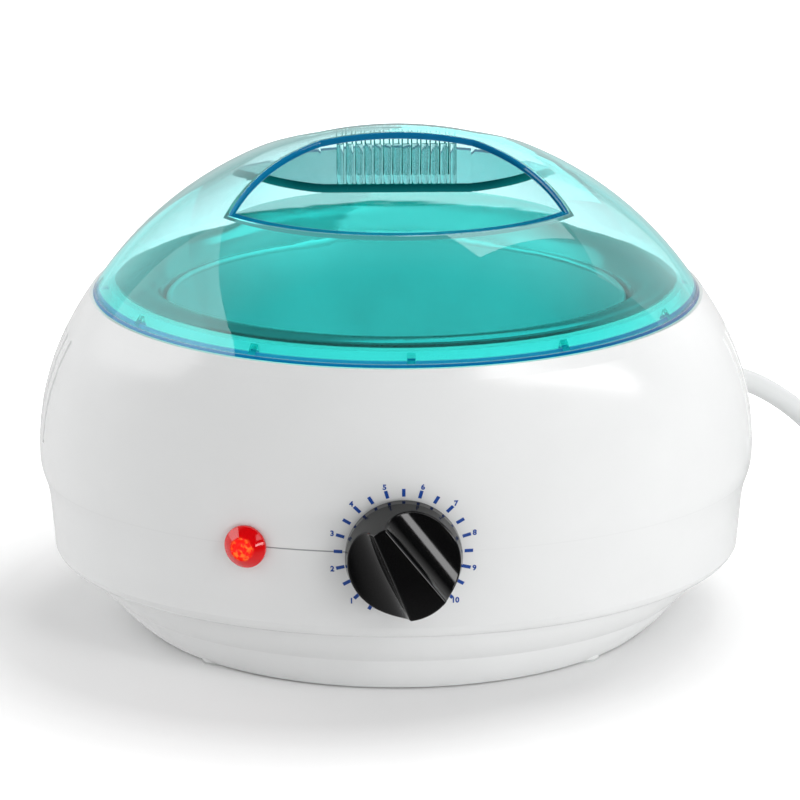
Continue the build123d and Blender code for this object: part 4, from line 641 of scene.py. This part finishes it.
# Neon lamp: a small drawn glass tube, held in the lamp plug behind the lens, with its electrodes' orange
# glow just visible.
neon_glass, _ = moulded(
    "neon_glass", "#F2D8C8", "#F7E4D8", 0.03, 1.0, 0.002,
    **{"Transmission Weight": 0.8, "Emission Color": srgb("#FF7A30"), "Emission Strength": 0.4})
dress(neon_glass, "neon_lamp")

# Inner leads: stranded copper in extruded PVC or silicone sleeves, in the usual colours, with a soft waxy
# sheen. The lead inside the casing has the same sleeve as outside.
dress(pvc_sleeve, "inner_cord")
for sleeve_name, sleeve_dark, sleeve_pale, lead_names in (
        ("brown_pvc_lead", "#57301C", "#643A24", ("lead_live_supply", "lead_to_thermostat")),
        ("blue_pvc_lead", "#1F4F9E", "#275AAE", ("lead_neutral_supply", "lead_from_heater")),
        ("green_pvc_lead", "#3C8A35", "#7FA833", ("lead_earth_supply", "lead_earth_bond")),
        ("red_silicone_lead", "#A3201C", "#B42B24", ("lead_to_fuse", "lead_to_heater", "lamp_leads"))):
    sleeve, _ = moulded(sleeve_name, sleeve_dark, sleeve_pale, 0.4, 0.5, 0.01)
    dress(sleeve, *lead_names)

# Studio: a matt white table that runs on behind as the background, a large panel at the left, two panels
# behind at the right, a softbox and a narrow strip in front at the right, and a low panel beside them, as
# the shading in the photograph shows.
table_radius = 6.0
glow_middle = (-0.025, 0.0, 0.0)
glow_start = 0.112
glow_full = 0.27
mirror_dark_end = -0.2
mirror_pale_end = -0.05
fill_strength = 0.515
lid_strength = 1.2
table_shape = bmesh.new()
bmesh.ops.create_circle(table_shape, cap_ends=True, segments=96, radius=table_radius)
table_mesh = bpy.data.meshes.new("table")
table_shape.to_mesh(table_mesh)
table_shape.free()
table = bpy.data.objects.new("table", table_mesh)
bpy.context.scene.collection.objects.link(table)
table_white = new_material("matt_white_table")
table_diffuse = add_node(table_white, "ShaderNodeBsdfDiffuse", {"Color": srgb("#F2F2F2")})
# The table glows with painted light for the camera and through the lid, and is a white background from 0.27
# m out. Nearer to the object, and most at the left, the painted glow fades so that the object's shadow
# shows
table_place = add_node(table_white, "ShaderNodeTexCoord").outputs["Object"]
table_reach = add_node(table_white, "ShaderNodeVectorMath", {
    0: table_place, 1: glow_middle}, operation="DISTANCE")
table_fade = add_node(table_white, "ShaderNodeMapRange", {
    "Value": table_reach.outputs["Value"], "From Min": glow_start, "From Max": glow_full,
    "To Min": 0.0, "To Max": 0.8})
table_glow = add_node(table_white, "ShaderNodeEmission", {
    "Color": plain_white, "Strength": table_fade.outputs["Result"]})
table_path = add_node(table_white, "ShaderNodeLightPath")
seen_through = add_node(table_white, "ShaderNodeMath", {
    0: table_path.outputs["Is Camera Ray"], 1: table_path.outputs["Is Transmission Ray"]},
    operation="MAXIMUM")
table_black = add_node(table_white, "ShaderNodeEmission", {"Strength": 0.0})
table_lift = add_node(table_white, "ShaderNodeMixShader", {
    "Fac": seen_through.outputs[0], 1: table_black.outputs["Emission"], 2: table_glow.outputs["Emission"]})
table_sum = add_node(table_white, "ShaderNodeAddShader", {
    0: table_diffuse.outputs["BSDF"], 1: table_lift.outputs["Shader"]})
# Mirrors see the table turn dark in front of the object, as it does in the photograph's knob
table_depth = add_node(table_white, "ShaderNodeSeparateXYZ", {"Vector": table_place}).outputs["Y"]
table_dim = add_node(table_white, "ShaderNodeMapRange", {
    "Value": table_depth, "From Min": mirror_dark_end, "From Max": mirror_pale_end, "To Min": 0.05,
    "To Max": 0.7})
table_mirror = add_node(table_white, "ShaderNodeEmission", {
    "Color": plain_white, "Strength": table_dim.outputs["Result"]})
table_mirrored = add_node(table_white, "ShaderNodeMath", {
    0: table_path.outputs["Is Glossy Ray"], 1: table_path.outputs["Is Transmission Ray"]},
    operation="SUBTRACT", use_clamp=True)
table_mix = add_node(table_white, "ShaderNodeMixShader", {
    "Fac": table_mirrored.outputs[0], 1: table_sum.outputs["Shader"],
    2: table_mirror.outputs["Emission"]})
add_node(table_white, "ShaderNodeOutputMaterial", {"Surface": table_mix.outputs["Shader"]})
table_mesh.materials.append(table_white)
object_middle = Vector((0.0, 0.0, 0.08))


def lamp(name, turn, rise, distance, width, height, power):
    """An area lamp aimed at the object. Turn is degrees from the front towards the right, rise above the
    table. Returns its object."""
    light = bpy.data.lights.new(name, "AREA")
    light.shape = "RECTANGLE"
    light.size = width
    light.size_y = height
    light.energy = power
    holder = bpy.data.objects.new(name, light)
    way = Vector((
        math.sin(math.radians(turn)) * math.cos(math.radians(rise)),
        -math.cos(math.radians(turn)) * math.cos(math.radians(rise)), math.sin(math.radians(rise))))
    holder.location = object_middle + way * distance
    holder.rotation_euler = way.to_track_quat("Z", "Y").to_euler()
    bpy.context.scene.collection.objects.link(holder)
    return holder


lamp("left_panel", -103.0, 26.0, 1.3, 1.4, 0.9, 3.2)
lamp("right_rear_panel", 136.0, 22.0, 1.4, 0.9, 0.9, 1.3)
lamp("top_rear_panel", 150.0, 60.0, 1.6, 1.0, 1.0, 6.0)
# The softbox shades the casing without a mirror image in the lid, and the strip makes the streak on the
# knob
front_softbox = lamp("front_softbox", 42.0, 32.0, 1.5, 0.6, 0.6, 3.0)
front_softbox.visible_glossy = False
front_softbox.visible_transmission = False
streak_strip = lamp("streak_strip", 42.0, 32.0, 1.5, 0.1, 0.5, 0.25)
streak_strip.visible_transmission = False
lamp("right_low_panel", 54.0, 4.0, 1.2, 1.2, 0.2, 3.2)

world = bpy.data.worlds.new("studio_white")
world.use_nodes = True
world.node_tree.nodes.clear()
bpy.context.scene.world = world
world_way = add_node(world, "ShaderNodeTexCoord").outputs["Generated"]
world_parts = add_node(world, "ShaderNodeSeparateXYZ", {"Vector": world_way})
# Mirrors see a dim room in front, where the camera stands, and the white background behind
world_behind = add_node(world, "ShaderNodeMapRange", {
    "Value": world_parts.outputs["Y"], "From Min": -0.1, "From Max": 0.4, "To Min": 0.03, "To Max": 0.85})
world_mirror = add_node(world, "ShaderNodeBackground", {
    "Color": plain_white, "Strength": world_behind.outputs["Result"]})
# The pot sees the ceiling at its brightest, and the well's flange sees the back of the lid
world_over = add_node(world, "ShaderNodeMapRange", {
    "Value": world_parts.outputs["Y"], "From Min": 0.1, "From Max": 0.6, "To Min": 1.9, "To Max": 0.65})
world_ceiling = add_node(world, "ShaderNodeBackground", {
    "Color": plain_white, "Strength": world_over.outputs["Result"]})
# What lights the casing, what shows through the lid, and what the camera sees
world_fill = add_node(world, "ShaderNodeBackground", {"Color": plain_white, "Strength": fill_strength})
world_through = add_node(world, "ShaderNodeBackground", {"Color": plain_white, "Strength": lid_strength})
world_white = add_node(world, "ShaderNodeBackground", {"Color": plain_white, "Strength": 1.0})
world_path = add_node(world, "ShaderNodeLightPath")
under_lid = add_node(world, "ShaderNodeMath", {
    0: world_path.outputs["Transparent Depth"], 1: 0.5}, operation="GREATER_THAN")
world_dry = add_node(world, "ShaderNodeMixShader", {
    "Fac": world_path.outputs["Is Glossy Ray"], 1: world_fill.outputs["Background"],
    2: world_mirror.outputs["Background"]})
world_under = add_node(world, "ShaderNodeMixShader", {
    "Fac": under_lid.outputs[0], 1: world_dry.outputs["Shader"], 2: world_ceiling.outputs["Background"]})
world_mix = add_node(world, "ShaderNodeMixShader", {
    "Fac": world_path.outputs["Is Transmission Ray"], 1: world_under.outputs["Shader"],
    2: world_through.outputs["Background"]})
world_seen = add_node(world, "ShaderNodeMixShader", {
    "Fac": world_path.outputs["Is Camera Ray"], 1: world_mix.outputs["Shader"],
    2: world_white.outputs["Background"]})
add_node(world, "ShaderNodeOutputWorld", {"Surface": world_seen.outputs["Shader"]})
